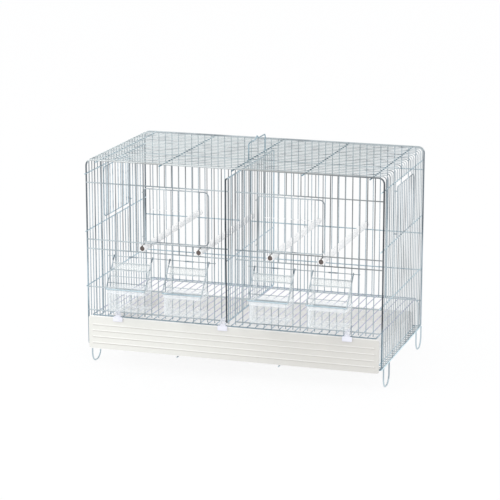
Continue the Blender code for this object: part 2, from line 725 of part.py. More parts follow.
def make_cup(name, x, surface):
    """A seed cup in front of the panel, with a tab that rests on the sill wire."""
    back = -CROSS_WIRE / 2 - GAP
    half, low_half = CUP_WIDTH / 2, CUP_BOTTOM_WIDTH / 2
    lip = CUP_RIM - CUP_LIP_HEIGHT
    floor = CUP_BOTTOM + CUP_WALL
    wall_back = back - CUP_LIP / 2
    inner_back = wall_back - CUP_WALL
    inside = CUP_LIP + CUP_WALL
    low_front = CUP_BOTTOM_FRONT
    turn = CUP_ROUND
    deep = CUP_WALL + CUP_ROUND
    body = stacked([
        cup_ring(x, low_half - turn, low_front + turn, wall_back, CUP_BOTTOM, turn),
        cup_ring(x, low_half, low_front, wall_back, CUP_BOTTOM + turn),
        cup_ring(x, half - CUP_LIP, CUP_FRONT + CUP_LIP, wall_back, lip),
        cup_ring(x, half, CUP_FRONT, back, lip),
        cup_ring(x, half, CUP_FRONT, back, CUP_RIM),
        cup_ring(x, half - inside, CUP_FRONT + inside, inner_back, CUP_RIM, CUP_WALL),
        cup_ring(x, low_half - CUP_WALL, low_front + CUP_WALL, inner_back, floor + turn, CUP_WALL),
        cup_ring(x, low_half - deep, low_front + deep, inner_back, floor, deep),
    ])
    low = FEEDER_SILL_WIRE + CROSS_WIRE / 2 + GAP
    tab = block(
        span(x, CUP_TAB_WIDTH),
        (wall_back - CUP_WALL / 2, back + CUP_TAB_DEPTH),
        (low, low + CUP_TAB_THICKNESS),
    )
    return finish(combined(name, [body, tab]), surface)


def make_hood(name, x, surface):
    """Two clear cheeks under the flap, joined by a band at the top and one at the bottom."""
    back = -CROSS_WIRE / 2 - 2 * GAP
    low = CUP_RIM + 2 * GAP
    cheeks = []
    for side in (-1, 1):
        rings = []
        for shift in (0, HOOD_WALL):
            place = x + side * (HOOD_HALF_WIDTH - shift)
            rings.append([
                at(place, back, low),
                at(place, back - HOOD_DEPTH, low),
                at(place, back - HOOD_DEPTH, low + HOOD_BAND / 2),
                at(place, back - HOOD_WALL * 2, HOOD_TOP),
                at(place, back, HOOD_TOP),
            ])
        cheeks.append(stacked(rings))
    inside = HOOD_HALF_WIDTH - HOOD_WALL / 2
    bands = []
    for height in ((HOOD_TOP - HOOD_BAND, HOOD_TOP - GAP), (low + GAP, low + HOOD_WALL)):
        bands.append(block((x - inside, x + inside), (back - HOOD_WALL, back - GAP), height))
    return finish(combined(name, [together(cheeks), together(bands)]), surface)


def make_rod(name, side, surface):
    """The rod that two flaps hang on, thicker behind the middle of each."""
    ends = sorted((side * ROD_INNER_END, side * ROD_OUTER_END))
    rod = across(ends[0], ends[1], ROD_DEPTH, ROD_HEIGHT, ROD_WIRE)
    sleeves = []
    for x in feeder_places(side):
        x_range = span(x, ROD_SLEEVE_LENGTH)
        sleeves.append(across(x_range[0], x_range[1], ROD_DEPTH, ROD_HEIGHT, ROD_SLEEVE))
    return finish(combined(name, [rod, together(sleeves)]), surface)


def feeder_places(side):
    """The middles of the two feeder openings of one half."""
    half_opening = FEEDER_PITCHES * WIRE_PITCH / 2
    edges = (FIRST_FEEDER_EDGE, SECOND_FEEDER_EDGE)
    return [side * (upright_x(edge) + half_opening) for edge in edges]


def make_flap(name, x, surface):
    """A barred flap that leans out from the rod on to the cup's rim."""
    pivot = at(x, ROD_DEPTH, ROD_HEIGHT)
    down = Vector((0, -math.sin(FLAP_ANGLE), -math.cos(FLAP_ANGLE)))
    normal = X_AXIS.cross(down)
    sides, bars, eyes = [], [], []
    start = (FLAP_EYE_INNER + FLAP_EYE_OUTER) / 2
    for side in (-1, 1):
        shift = X_AXIS * (side * FLAP_WIDTH / 2)
        path = [pivot + shift + down * start, pivot + shift + down * (FLAP_LENGTH + DOOR_WIRE / 3)]
        sides.append(bent_wire(path, normal, DOOR_WIRE))
        eyes.append(eye(pivot + shift, X_AXIS, FLAP_EYE_INNER, FLAP_EYE_OUTER, DOOR_WIRE * 0.9))
    reach = X_AXIS * (FLAP_WIDTH / 2)
    for i in range(FLAP_BARS):
        place = FLAP_FIRST_BAR + (FLAP_LENGTH - FLAP_FIRST_BAR) * i / (FLAP_BARS - 1)
        middle = pivot + down * place
        bars.append(bent_wire([middle - reach, middle + reach], normal, ROD_WIRE))
    made = combined(name, [together(sides), together(bars), together(eyes)])
    return finish(made, surface, origin=pivot)


def door_shape(place, normal, length, low, high, uprights, swing):
    """A wire door: place gives a point in its plane from a distance and a height."""
    start, end = DOOR_HINGE_OFFSET, DOOR_HINGE_OFFSET + length
    corners = [place(start, low), place(end, low), place(end, high), place(start, high)]
    hinge, free = DOOR_HINGE_RADIUS, DOOR_FREE_RADIUS
    path = rounded(corners, [hinge, free, free, hinge], closed=True)
    edge = bent_wire(path, normal, DOOR_WIRE, closed=True)
    bars = [
        bent_wire([place(distance, low), place(distance, high)], normal, UPRIGHT_WIRE)
        for distance in uprights
    ]
    eyes, arms = [], []
    for height in (low + DOOR_EYE_INSET, high - DOOR_EYE_INSET):
        centre = place(0, height) - swing
        eyes.append(eye(centre, Z_AXIS, DOOR_EYE_INNER, DOOR_EYE_OUTER, UPRIGHT_WIRE))
        reach = [place(0, height), place(start, height)]
        arms.append(bent_wire(reach, normal, ROD_WIRE))
    return [edge, together(bars + eyes), together(arms)]


def make_front_door(name, hinge_x, surface):
    """A door hung at its left edge on one upright of the front panel."""
    length = DOOR_PITCHES * WIRE_PITCH + DOOR_OVERLAP - DOOR_HINGE_OFFSET
    uprights = [WIRE_PITCH * i for i in range(1, DOOR_PITCHES)]

    def place(distance, height):
        return at(hinge_x + distance, DOOR_DEPTH, height)

    shapes = door_shape(
        place, Y_AXIS, length, DOOR_BOTTOM, DOOR_TOP, uprights, Y_AXIS * DOOR_DEPTH
    )
    pivot = at(hinge_x, 0, (DOOR_BOTTOM + DOOR_TOP) / 2)
    return finish(combined(name, shapes), surface, origin=pivot)


def make_side_door(name, side, surface):
    """A door hung on one hoop of a side, outside the side's wires."""
    hinge, free = side_door_edges(side)
    way = 1 if free > hinge else -1
    length = SIDE_DOOR_PITCHES * HOOP_PITCH + DOOR_OVERLAP - DOOR_HINGE_OFFSET
    uprights = [HOOP_PITCH * i for i in range(1, SIDE_DOOR_PITCHES)]
    swing = X_AXIS * (-side * DOOR_DEPTH)

    def place(distance, height):
        return at(side * HALF, hinge * HOOP_PITCH + way * distance, height) + swing

    shapes = door_shape(
        place, X_AXIS, length, SIDE_DOOR_BOTTOM, SIDE_DOOR_TOP, uprights, swing
    )
    pivot = at(side * HALF, hinge * HOOP_PITCH, (SIDE_DOOR_BOTTOM + SIDE_DOOR_TOP) / 2)
    return finish(combined(name, shapes), surface, origin=pivot)


def make_pull(name, hinge_x, surface):
    """A thin wire behind a front door that ends in a bead."""
    depth = DOOR_DEPTH + UPRIGHT_WIRE / 2 + GAP + PULL_WIRE / 2
    start = hinge_x + PULL_START
    wire = across(start, start + PULL_LENGTH, depth, PULL_HEIGHT, PULL_WIRE)
    centre = at(start + PULL_LENGTH + BEAD_OFFSET, depth + BEAD_DIAMETER / 2, PULL_HEIGHT)
    work = bmesh.new()
    bmesh.ops.create_uvsphere(work, u_segments=10, v_segments=6, radius=BEAD_DIAMETER / 2)
    points = [vertex.co + centre for vertex in work.verts]
    faces = [tuple(vertex.index for vertex in face.verts) for face in work.faces]
    work.free()
    lift = BEAD_DIAMETER / 4
    neck = block(
        (start + PULL_LENGTH - PULL_WIRE, centre.x),
        (depth - PULL_WIRE / 4, depth + lift),
        span(PULL_HEIGHT, PULL_WIRE / 2),
    )
    pivot = at(hinge_x, 0, PULL_HEIGHT)
    return finish(combined(name, [(points, faces), wire, neck]), surface, origin=pivot)


def main():
    for obj in list(bpy.data.objects):
        bpy.data.objects.remove(obj)
    zinc = material("zinc_wire", (0.52, 0.56, 0.62), 0.32, metallic=0.9)
    cream = material("cream_plastic", (0.86, 0.85, 0.80), 0.45)
    white = material("white_plastic", (0.88, 0.88, 0.90), 0.40)
    ivory = material("ivory_tube", (0.84, 0.82, 0.74), 0.42)
    clear = material("clear_plastic", (0.88, 0.92, 0.96), 0.10, clear=0.85)

    make_end_frame("front_frame", 0, zinc)
    make_end_frame("back_frame", SHELL_DEPTH, zinc)
    make_back_panel("back_panel", zinc)
    make_roof("roof_grille", zinc)
    make_floor_rest("floor_rest", zinc)
    for side, word in ((-1, "left"), (1, "right")):
        make_front_panel(f"front_panel_{word}", side, zinc)
        make_side(f"side_grille_{word}", side, zinc)
        make_ledge(f"ledge_{word}", side, zinc)
        make_rod(f"flap_rod_{word}", side, zinc)
        make_side_door(f"side_door_{word}", side, zinc)
        make_foot(f"foot_front_{word}", side, FOOT_FRONT, zinc)
        make_foot(f"foot_back_{word}", side, FOOT_BACK, zinc)
        for x, order in zip(feeder_places(side), ("inner", "outer")):
            make_cup(f"feeder_cup_{word}_{order}", x, clear)
            make_hood(f"feeder_hood_{word}_{order}", x, clear)
            make_flap(f"feeder_flap_{word}_{order}", x, zinc)
    make_base_wire("base_wire_left", BASE_WIRE_LEFT, zinc)
    make_base_wire("base_wire_right", BASE_WIRE_RIGHT, zinc)
    make_tray("tray", cream)
    make_floor_grid("floor_grid", zinc)
    clip_reach = FASCIA_WIDTH / 2 - CLIP_INSET
    clips = (-clip_reach, CLIP_MIDDLE, clip_reach)
    for x, word in zip(clips, ("left", "middle", "right")):
        make_clip(f"grid_clip_{word}", x, white)
    make_divider("divider", zinc)
    make_handle("carry_handle", zinc)
    hinges = (-upright_x(DOOR_EDGE + DOOR_PITCHES), upright_x(DOOR_EDGE))
    for hinge_x, word in zip(hinges, ("left", "right")):
        make_front_door(f"front_door_{word}", hinge_x, zinc)
        make_pull(f"door_pull_{word}", hinge_x, ivory)
    perches = (-upright_x(12), -upright_x(4), upright_x(5), upright_x(12))
    for number, x in enumerate(perches, 1):
        make_perch(f"perch_{number}", x, ivory)


main()
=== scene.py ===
# %% [markdown]
# # A wire bird cage with two compartments
#
# The real cage is almost all drawn wire: two end frames, a shell of hoops, barred
# doors, a divider and a floor grid. A cream tray, clear feeders, pale perches and a
# few small clips and beads are the only plastic. Each cell below makes one of these
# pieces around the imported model, which says where everything sits and which piece
# moves with which.

# %% The frame that every piece is built around
import math

import bmesh
import bpy
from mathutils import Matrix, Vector


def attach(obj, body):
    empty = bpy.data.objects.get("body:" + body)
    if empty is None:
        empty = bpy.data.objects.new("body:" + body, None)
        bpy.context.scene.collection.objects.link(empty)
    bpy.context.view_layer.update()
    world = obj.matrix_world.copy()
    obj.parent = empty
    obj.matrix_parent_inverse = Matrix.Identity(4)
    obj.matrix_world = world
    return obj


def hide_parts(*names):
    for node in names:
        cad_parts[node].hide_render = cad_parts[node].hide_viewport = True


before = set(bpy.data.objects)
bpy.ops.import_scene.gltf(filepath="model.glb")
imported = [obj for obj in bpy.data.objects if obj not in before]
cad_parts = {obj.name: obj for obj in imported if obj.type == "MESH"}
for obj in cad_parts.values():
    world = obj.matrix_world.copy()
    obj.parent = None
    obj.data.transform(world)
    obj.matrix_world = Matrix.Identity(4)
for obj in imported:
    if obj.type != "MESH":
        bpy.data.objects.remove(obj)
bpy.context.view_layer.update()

# %% [markdown]
# ## The shell's measures
#
# A cage is easiest to think about from its front: how far to the side, how deep
# behind the front wires, and how high above the ledge that the tray slides on.
# One helper turns those three numbers into a point of the scene, so the pieces
# can use the numbers that a maker would write on a drawing. Uprights and hoops
# stand at even spacings, so a place is often just a count of them.

# %% Measures, in metres
FRONT_Y = -0.1277
LEDGE_Z = 0.040
HALF = 0.275
DEPTH = 0.300
HEIGHT = 0.343
HOOP = DEPTH / 22
PITCH = 0.0133
FIRST = 0.0064
RAIL_FRONT = -0.012
RAIL_BACK = 0.2982
SIDES = ((-1, "left"), (1, "right"))
ACROSS, INWARD, UPWARD = 0, 1, 2


def at(x, depth, height):
    """The scene's point for a place in the cage."""
    return Vector((x, FRONT_Y + depth, LEDGE_Z + height))


def upright_x(index):
    """The place of an upright of the front, counted from the middle."""
    return FIRST + index * PITCH


print("front corners:", at(-HALF, 0, 0), at(HALF, 0, HEIGHT))

# %% [markdown]
# ## A graph of nodes, written as sums
#
# Both the wires and the finishes are made by node trees. Wiring nodes by hand
# takes four lines for each sum, so one small class wraps a socket and lets
# Python's own signs add the Math nodes. Every other node comes from one method,
# which takes its kind, its settings and what goes into its sockets.

# %% Sockets that take part in sums
class Flow:
    """One output socket of a tree."""

    def __init__(self, graph, socket):
        self.graph = graph
        self.socket = socket

    def sum(self, operation, *values):
        """A Math node; each value is a socket or a plain number."""
        return self.graph.node("ShaderNodeMath", {"operation": operation}, dict(enumerate(values)))

    def __add__(self, other):
        return self.sum("ADD", self, other)

    def __sub__(self, other):
        return self.sum("SUBTRACT", self, other)

    def __mul__(self, other):
        return self.sum("MULTIPLY", self, other)

    def __rsub__(self, other):
        return self.sum("SUBTRACT", other, self)

    __radd__ = __add__
    __rmul__ = __mul__

    def ramp(self, start, end):
        """Nothing at start, everything at end, and a soft change between them."""
        values = {"Value": self, "From Min": start, "From Max": end}
        return self.graph.node("ShaderNodeMapRange", {"interpolation_type": "SMOOTHSTEP"}, values)

    def stripe(self, start, full, fading, end):
        """Everything from full to fading, nothing before start or past end."""
        return self.ramp(start, full) * self.ramp(end, fading)


class Graph:
    """The nodes of one tree."""

    def __init__(self, tree):
        self.tree = tree

    def node(self, kind, settings=None, values=None, output=0):
        """A new node with its settings and its inputs; gives back one of its outputs."""
        made = self.tree.nodes.new(kind)
        for name, setting in (settings or {}).items():
            setattr(made, name, setting)
        for name, value in (values or {}).items():
            self.give(made.inputs[name], value)
        return Flow(self, made.outputs[output])

    def give(self, socket, value):
        """Feeds a socket from another one, or sets it to a constant."""
        if isinstance(value, Flow):
            self.tree.links.new(value.socket, socket)
        else:
            socket.default_value = value

    def end(self, kind, label, value):
        """Adds the node that the tree ends in, and feeds it."""
        self.give(self.tree.nodes.new(kind).inputs[label], value)

    def mix(self, mask, first, second):
        """Two colours, shared out by a mask."""
        values = {0: mask, 6: (*first, 1.0) if isinstance(first, tuple) else first}
        values[7] = (*second, 1.0) if isinstance(second, tuple) else second
        return self.node("ShaderNodeMix", {"data_type": "RGBA"}, values, output=2)


print("Flow and Graph are ready")

# %% [markdown]
# ## Drawn wire
#
# Almost everything here is a wire of one thickness that follows a path, turns its
# corners in a small bend, and comes back again and again at one spacing. That is
# what a node tree does well. The path is a mesh of edges whose points carry their
# own bend; the tree rounds the corners, sweeps a circle along them, and sets out
# the copies in a row.

# %% The tree that draws wire
def new_tree(name, inputs):
    """A tree with named inputs; each is its name, its kind and its value."""
    tree = bpy.data.node_groups.new(name, "GeometryNodeTree")
    tree.interface.new_socket("Geometry", in_out="INPUT", socket_type="NodeSocketGeometry")
    tree.interface.new_socket("Geometry", in_out="OUTPUT", socket_type="NodeSocketGeometry")
    for label, kind, value in inputs:
        tree.interface.new_socket(label, in_out="INPUT", socket_type=kind).default_value = value
    return tree


def group_inputs(graph):
    """The tree's inputs by name."""
    made = graph.tree.nodes.new("NodeGroupInput")
    return {socket.name: Flow(graph, socket) for socket in made.outputs if socket.name}


def make_wire_tree():
    """Rounds a path's corners, sweeps a circle along it and sets out the copies."""
    tree = new_tree("drawn_wire", [
        ("Diameter", "NodeSocketFloat", 0.002),
        ("Bend steps", "NodeSocketInt", 6),
        ("Sides", "NodeSocketInt", 10),
        ("Copies", "NodeSocketInt", 1),
        ("Step", "NodeSocketVector", (0.0, 0.0, 0.0)),
    ])
    graph = Graph(tree)
    given = group_inputs(graph)
    curve = graph.node("GeometryNodeMeshToCurve", values={"Mesh": given["Geometry"]})
    bend = graph.node("GeometryNodeInputNamedAttribute", {"data_type": "FLOAT"}, {"Name": "bend"})
    turned = graph.node("GeometryNodeFilletCurve", {"mode": "POLY"}, {
        "Curve": curve, "Count": given["Bend steps"], "Radius": bend, "Limit Radius": True,
    })
    circle = graph.node("GeometryNodeCurvePrimitiveCircle", {"mode": "RADIUS"}, {
        "Resolution": given["Sides"], "Radius": given["Diameter"] * 0.5,
    })
    tube = graph.node("GeometryNodeCurveToMesh", values={
        "Curve": turned, "Profile Curve": circle, "Fill Caps": True,
    })
    row = graph.node("GeometryNodeMeshLine", {"mode": "OFFSET"}, {
        "Count": given["Copies"], "Offset": given["Step"],
    })
    copies = graph.node("GeometryNodeInstanceOnPoints", values={"Points": row, "Instance": tube})
    whole = graph.node("GeometryNodeRealizeInstances", values={"Geometry": copies})
    graph.end("NodeGroupOutput", "Geometry", whole)
    return tree


WIRE_TREE = make_wire_tree()
print("wire tree with", len(WIRE_TREE.nodes), "nodes")

# %% [markdown]
# ## From paths to a finished piece
#
# The tree works as a modifier on a mesh of edges, and what it makes is taken off
# as a plain mesh, because the frame's tools and the export want meshes. Several
# such meshes are joined into one piece, which is given its finish and the body
# that it rides on, while the solids that it stands for are hidden.

# %% From paths to a finished piece
def placed(name, data):
    """A new object in the scene."""
    made = bpy.data.objects.new(name, data)
    bpy.context.scene.collection.objects.link(made)
    return made


def taken_off(holder):
    """What an object's modifiers make of it, as a plain mesh; the object goes."""
    graph = bpy.context.evaluated_depsgraph_get()
    result = bpy.data.meshes.new_from_object(holder.evaluated_get(graph))
    bpy.data.objects.remove(holder)
    return result


def through_tree(source, tree, settings):
    """What a tree makes of a mesh, as a plain mesh."""
    holder = placed("bench", source)
    modifier = holder.modifiers.new("tree", "NODES")
    modifier.node_group = tree
    for item in tree.interface.items_tree:
        if item.in_out == "INPUT" and item.name in settings:
            modifier[item.identifier] = settings[item.name]
    result = taken_off(holder)
    bpy.data.meshes.remove(source)
    return result


def path_mesh(paths, closed):
    """Paths as edges; a point is (x, depth, height) and perhaps its bend."""
    points, edges, bends = [], [], []
    for path in paths:
        first = len(points)
        points += [at(*point[:3]) for point in path]
        bends += [point[3] if len(point) > 3 else 0.0 for point in path]
        edges += [(i, i + 1) for i in range(first, len(points) - 1)]
        if closed:
            edges.append((len(points) - 1, first))
    mesh = bpy.data.meshes.new("paths")
    mesh.from_pydata(points, edges, [])
    bend = mesh.attributes.new("bend", "FLOAT", "POINT")
    bend.data.foreach_set("value", bends)
    return mesh


def drawn(paths, diameter, copies=1, step=(0, 0, 0), closed=False, sides=10, steps=6):
    """Wire of one thickness along each path, in a row of copies."""
    return through_tree(path_mesh(paths, closed), WIRE_TREE, {
        "Diameter": diameter,
        "Bend steps": steps,
        "Sides": sides,
        "Copies": copies,
        "Step": [float(v) for v in step],
    })


def piece(name, meshes, surface, body, nodes=(), smooth=42):
    """Joins meshes into one piece that rides on a body and stands for its nodes."""
    work = bmesh.new()
    for mesh in meshes:
        work.from_mesh(mesh)
        bpy.data.meshes.remove(mesh)
    whole = bpy.data.meshes.new(name)
    work.to_mesh(whole)
    work.free()
    whole.materials.clear()
    whole.materials.append(surface)
    whole.polygons.foreach_set("material_index", [0] * len(whole.polygons))
    whole.shade_smooth()
    whole.set_sharp_from_angle(angle=math.radians(smooth))
    obj = placed(name, whole)
    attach(obj, body)
    if nodes:
        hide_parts(*nodes)
    print(f"{name}: {len(whole.polygons)} faces, rides on {body}")
    return obj


print("paths, rows and pieces are ready")

# %% [markdown]
# ## Finishes
#
# Every finish is a graph that ends in one shader. A small class adds what they all
# need: noise, a point's place in the cage's own measures, and a way to set what
# the shader is given.

# %% A graph with a shader
def bare_tree(owner):
    """The tree of a material or a world, without its first nodes."""
    owner.use_nodes = True
    owner.node_tree.nodes.clear()
    return owner.node_tree


class Finish(Graph):
    """A material's graph, with the shader that it ends in."""

    def __init__(self, name):
        self.material = bpy.data.materials.new(name)
        super().__init__(bare_tree(self.material))
        self.shader = self.tree.nodes.new("ShaderNodeBsdfPrincipled")
        self.end("ShaderNodeOutputMaterial", "Surface", Flow(self, self.shader.outputs[0]))

    def set(self, **inputs):
        """Gives the shader its inputs; an underscore stands for a space."""
        for label, value in inputs.items():
            self.give(self.shader.inputs[label.replace("_", " ")], value)

    def bump(self, height, strength, distance):
        """Roughens the surface without moving it."""
        values = {"Height": height, "Strength": strength, "Distance": distance}
        self.set(Normal=self.node("ShaderNodeBump", values=values))

    def noise(self, scale, detail, seed, stretch=(1.0, 1.0, 1.0)):
        """Cloudy noise. It varies quickly along an axis where stretch is large, and
        another seed gives another cloud."""
        where = self.node("ShaderNodeTexCoord", output="Object")
        where = self.node("ShaderNodeMapping", values={"Vector": where, "Scale": stretch})
        values = {"Vector": where, "Scale": scale, "Detail": detail, "W": seed}
        return self.node("ShaderNodeTexNoise", {"noise_dimensions": "4D"}, values)

    def measures(self):
        """How far across, how deep and how high a point lies, in the cage's measures."""
        apart = self.tree.nodes.new("ShaderNodeSeparateXYZ")
        self.give(apart.inputs[0], self.node("ShaderNodeTexCoord", output="Object"))
        x, y, z = (Flow(self, socket) for socket in apart.outputs)
        return x, y - FRONT_Y, z - LEDGE_Z


print("finishes can be made")

# %% [markdown]
# ## The finish of zinc-plated wire
#
# Bright zinc is a bluish grey mirror with faint spangles. On a wire two
# millimetres thick what one sees is whether a stretch happens to mirror
# something pale or something dark. So the finish is metal with a painted
# reflection: its tone drifts slowly along each wire and jumps from one wire to
# the next, over a fine grain that roughens it. Wires in different places mirror
# different parts of the room, so each piece has its own two painted tones, and
# some change them on the way as painted light and shade.

# %% Zinc
STANDING = (95.0, 95.0, 7.0)
GRAIN = 900.0
METAL = 0.86


def zinc(name, tones, share, stretch=STANDING, seed=0.0, shading_changes=()):
    """Zinc wire with a painted reflection in a bright and a dark tone; share is how much of it looks dark.

    A change is a painted change of light on the way: an axis, where it starts and ends, and the two tones
    beyond it."""
    finish = Finish(name)
    # The mask places the painted reflection's dark stretches along each wire
    mask = finish.noise(1.0, 1.5, seed, stretch).ramp(0.62 - 0.34 * share, 0.74 - 0.20 * share)
    grain = finish.noise(GRAIN, 3.0, seed + 3.0)
    tone = finish.mix(mask, *tones)
    for axis, start, end, *tones_beyond in shading_changes:
        beyond = finish.measures()[axis].ramp(start, end)
        tone = finish.mix(beyond, tone, finish.mix(mask, *tones_beyond))
    finish.set(Base_Color=finish.mix(grain * 0.25, tone, tones[0]))
    finish.set(Roughness=0.30 + grain * 0.14 - mask * 0.05, Metallic=METAL)
    finish.bump(grain, 0.12, 0.0003)
    return finish.material


LIGHT_ZINC = zinc("zinc_light", ((0.56, 0.66, 0.71), (0.28, 0.35, 0.40)), 0.35)
print("first finish, for the feet and the base:", LIGHT_ZINC.name)

# %% [markdown]
# ## End frames
#
# A thick wire loop closes the cage at the front and at the back. Its lower side
# runs under the tray, and its corners are bent round a small former. Each is one
# closed path whose four points carry their own bend. The front loop is the most
# visible wire of all, so its light and dark stretches are placed one by one.

# %% The front frame's finish
def front_frame_finish():
    """Painted reflection: dark where the loop mirrors the dark side of the room, high up on
    the left, nearly all of the right and more and more along the top; pale elsewhere on the top, and
    darker low down."""
    finish = Finish("zinc_front_frame")
    across, _, height = finish.measures()
    drift = finish.noise(1.0, 2.0, 6.0, (9.0, 9.0, 14.0))
    grain = finish.noise(GRAIN, 3.0, 9.0)
    right = across.ramp(0.2700, 0.2740) * height.ramp(0.060, 0.085)
    left = across.ramp(-0.2700, -0.2740) * height.ramp(0.17, 0.25)
    top = height.ramp(0.3375, 0.3415)
    # Painted reflection: where the loop is painted dark
    dark = right + left * 0.95 + top * across.ramp(0.040, 0.268) * 0.80
    light = finish.mix(drift.ramp(0.42, 0.60), (0.44, 0.55, 0.61), (0.30, 0.38, 0.43))
    # Painted shade: darker low down, near the tray
    light = finish.mix(height.ramp(0.100, 0.060), light, (0.24, 0.33, 0.39))
    top_reflection = finish.mix(drift.ramp(0.40, 0.58), (0.60, 0.64, 0.65), (0.40, 0.42, 0.42))
    shade = finish.mix(drift.ramp(0.40, 0.62), (0.15, 0.17, 0.19), (0.08, 0.09, 0.10))
    finish.set(Base_Color=finish.mix(dark, finish.mix(top, light, top_reflection), shade))
    finish.set(Roughness=0.26 + grain * 0.14, Metallic=METAL)
    return finish.material


FRONT_FRAME_ZINC = front_frame_finish()
# Painted reflection on the back loop: darker from about 0.13 m up, and pale again along the top
BACK_FRAME_TONES = ((0.46, 0.54, 0.59), (0.22, 0.27, 0.30))
BACK_FRAME_ZINC = zinc("zinc_frame", BACK_FRAME_TONES, 0.50, (9.0, 30.0, 7.0), 6.0, (
    (UPWARD, 0.13, 0.20, (0.17, 0.20, 0.23), (0.07, 0.09, 0.11)),
    (UPWARD, 0.334, 0.339, (0.48, 0.53, 0.55), (0.26, 0.29, 0.31)),
))
print("finishes:", FRONT_FRAME_ZINC.name, BACK_FRAME_ZINC.name)

# %% The two end frames
FRAME_WIRE = 0.0030
FRAME_LOW_BEND, FRAME_HIGH_BEND = 0.005, 0.0105
FRAMES = (("front_frame", 0.0, FRONT_FRAME_ZINC), ("back_frame", DEPTH, BACK_FRAME_ZINC))
for name, depth, surface in FRAMES:
    loop = [(-HALF, depth, 0, FRAME_LOW_BEND), (HALF, depth, 0, FRAME_LOW_BEND),
            (HALF, depth, HEIGHT, FRAME_HIGH_BEND), (-HALF, depth, HEIGHT, FRAME_HIGH_BEND)]
    wire = drawn([loop], FRAME_WIRE, closed=True, sides=14)
    piece(f"{name}_loop", [wire], surface, "cage", [name])

# %% [markdown]
# ## The front's two halves
#
# Each half of the front is a sheet of welded wire: twenty uprights, and five
# cross wires on their outside. Uprights stop where a door or a feeder opens the
# sheet. The openings repeat from half to half, so the uprights are drawn in
# groups of four that share the same stretches, counted from the middle outwards.
# A stretch laps a little over the cross wire that it is welded to.

# %% Front panels
THIN_WIRE = 0.0018
CROSS_WIRE = 0.0021
DOOR_TOP, DOOR_SILL = 0.302, 0.1974
FEEDER_TOP, FEEDER_SILL = 0.1802, 0.1093
LOWEST = 0.0658
UPRIGHT_END, UPRIGHT_TAIL = 0.3425, 0.0603
PANEL_END = 0.2746
LAP = 0.0007
WHOLE = (UPRIGHT_TAIL, UPRIGHT_END)
OVER_DOOR = (DOOR_TOP - LAP, UPRIGHT_END)
UNDER_FEEDER = (UPRIGHT_TAIL, FEEDER_SILL + LAP)
GROUPS = (
    [WHOLE],
    [UNDER_FEEDER, (FEEDER_TOP - LAP, DOOR_SILL + LAP), OVER_DOOR],
    [(UPRIGHT_TAIL, DOOR_SILL + LAP), OVER_DOOR],
    [UNDER_FEEDER, (FEEDER_TOP - LAP, UPRIGHT_END)],
    [WHOLE],
)
# Painted reflection on the uprights: a darker pair of tones from about 0.15 m up
FRONT_ZINC = zinc("zinc_front", ((0.46, 0.53, 0.57), (0.25, 0.31, 0.35)), 0.50, seed=2.0, shading_changes=(
    (UPWARD, 0.15, 0.21, (0.37, 0.385, 0.40), (0.10, 0.105, 0.112)),
))
# Painted reflection on the cross wires: darker on the right half, except on the wires below 0.17 m
CROSS_ZINC = zinc("zinc_cross", ((0.50, 0.56, 0.59), (0.26, 0.31, 0.34)), 0.40, (7.0, 95.0, 95.0), 4.0, (
    (ACROSS, 0.060, 0.160, (0.30, 0.32, 0.33), (0.14, 0.15, 0.16)),
    (UPWARD, 0.176, 0.170, (0.50, 0.56, 0.59), (0.26, 0.31, 0.34)),
))

for side, word in SIDES:
    parts = []
    for group, stretches in enumerate(GROUPS):
        x = side * upright_x(4 * group)
        paths = [[(x, 0, low), (x, 0, high)] for low, high in stretches]
        parts.append(drawn(paths, THIN_WIRE, 4, (side * PITCH, 0, 0), sides=8))
    piece(f"front_uprights_{word}", parts, FRONT_ZINC, "cage", [f"front_panel_{word}"])
    paths = [[(side * 0.0058, -0.0007, level), (side * PANEL_END, -0.0007, level)]
             for level in (DOOR_TOP, DOOR_SILL, FEEDER_TOP, FEEDER_SILL, LOWEST)]
    wires = drawn(paths, CROSS_WIRE)
    piece(f"front_cross_wires_{word}", [wires], CROSS_ZINC, "cage")

# %% [markdown]
# ## The back
#
# The back is a plain sheet of the same wire, forty uprights long, with a foot
# wire at its lower end. Two of its cross wires lie among the uprights, and two
# behind them, where they also meet the last hoop. The rims of the feeders' flaps
# get the same pale painted reflection as these cross wires.

# %% Back panel
BACK_FIRST = 0.00665
AMONG, BEHIND = DEPTH + 0.0006, DEPTH + 0.0018
BACK_LEVELS = ((0.3005, AMONG), (0.0500, AMONG), (0.1796, BEHIND), (0.1089, BEHIND))
# Painted reflection: the back's uprights darker from about 0.25 m up; its cross wires and the flaps' rims
# a pale pair of tones
BACK_ZINC = zinc("zinc_back", ((0.54, 0.63, 0.68), (0.30, 0.37, 0.42)), 0.40, seed=16.0, shading_changes=(
    (UPWARD, 0.25, 0.31, (0.36, 0.45, 0.51), (0.15, 0.20, 0.24)),
))
RIM_ZINC = zinc("zinc_rim", ((0.52, 0.64, 0.70), (0.34, 0.44, 0.50)), 0.40, (30.0, 95.0, 95.0), 9.0)

parts = []
for side in (-1, 1):
    x = side * BACK_FIRST
    path = [(x, DEPTH, 0.0495), (x, DEPTH, UPRIGHT_END)]
    parts.append(drawn([path], THIN_WIRE, 20, (side * PITCH, 0, 0), sides=8))
piece("back_uprights", parts, BACK_ZINC, "cage", ["back_panel"])
paths = [[(-PANEL_END, depth, level), (PANEL_END, depth, level)] for level, depth in BACK_LEVELS]
piece("back_cross_wires", [drawn(paths, 0.0022)], RIM_ZINC, "cage")

# %% [markdown]
# ## Hoops
#
# The roof, the sides and the ledges are really the same twenty-one wires: each
# starts as a short ledge under the tray, climbs one side, turns over the roof and
# comes down the other. Where a side door opens, the wires between two rails are
# cut away. One path for each kind of hoop and a row of copies makes them all.

# %% Hoops from ledge to ledge
LEDGE_END = 0.262
SIDE_TOP, SIDE_MIDDLE, SIDE_LOW = 0.319, 0.2138, 0.1127
LEDGE_BEND, ROOF_BEND = 0.0035, 0.0065
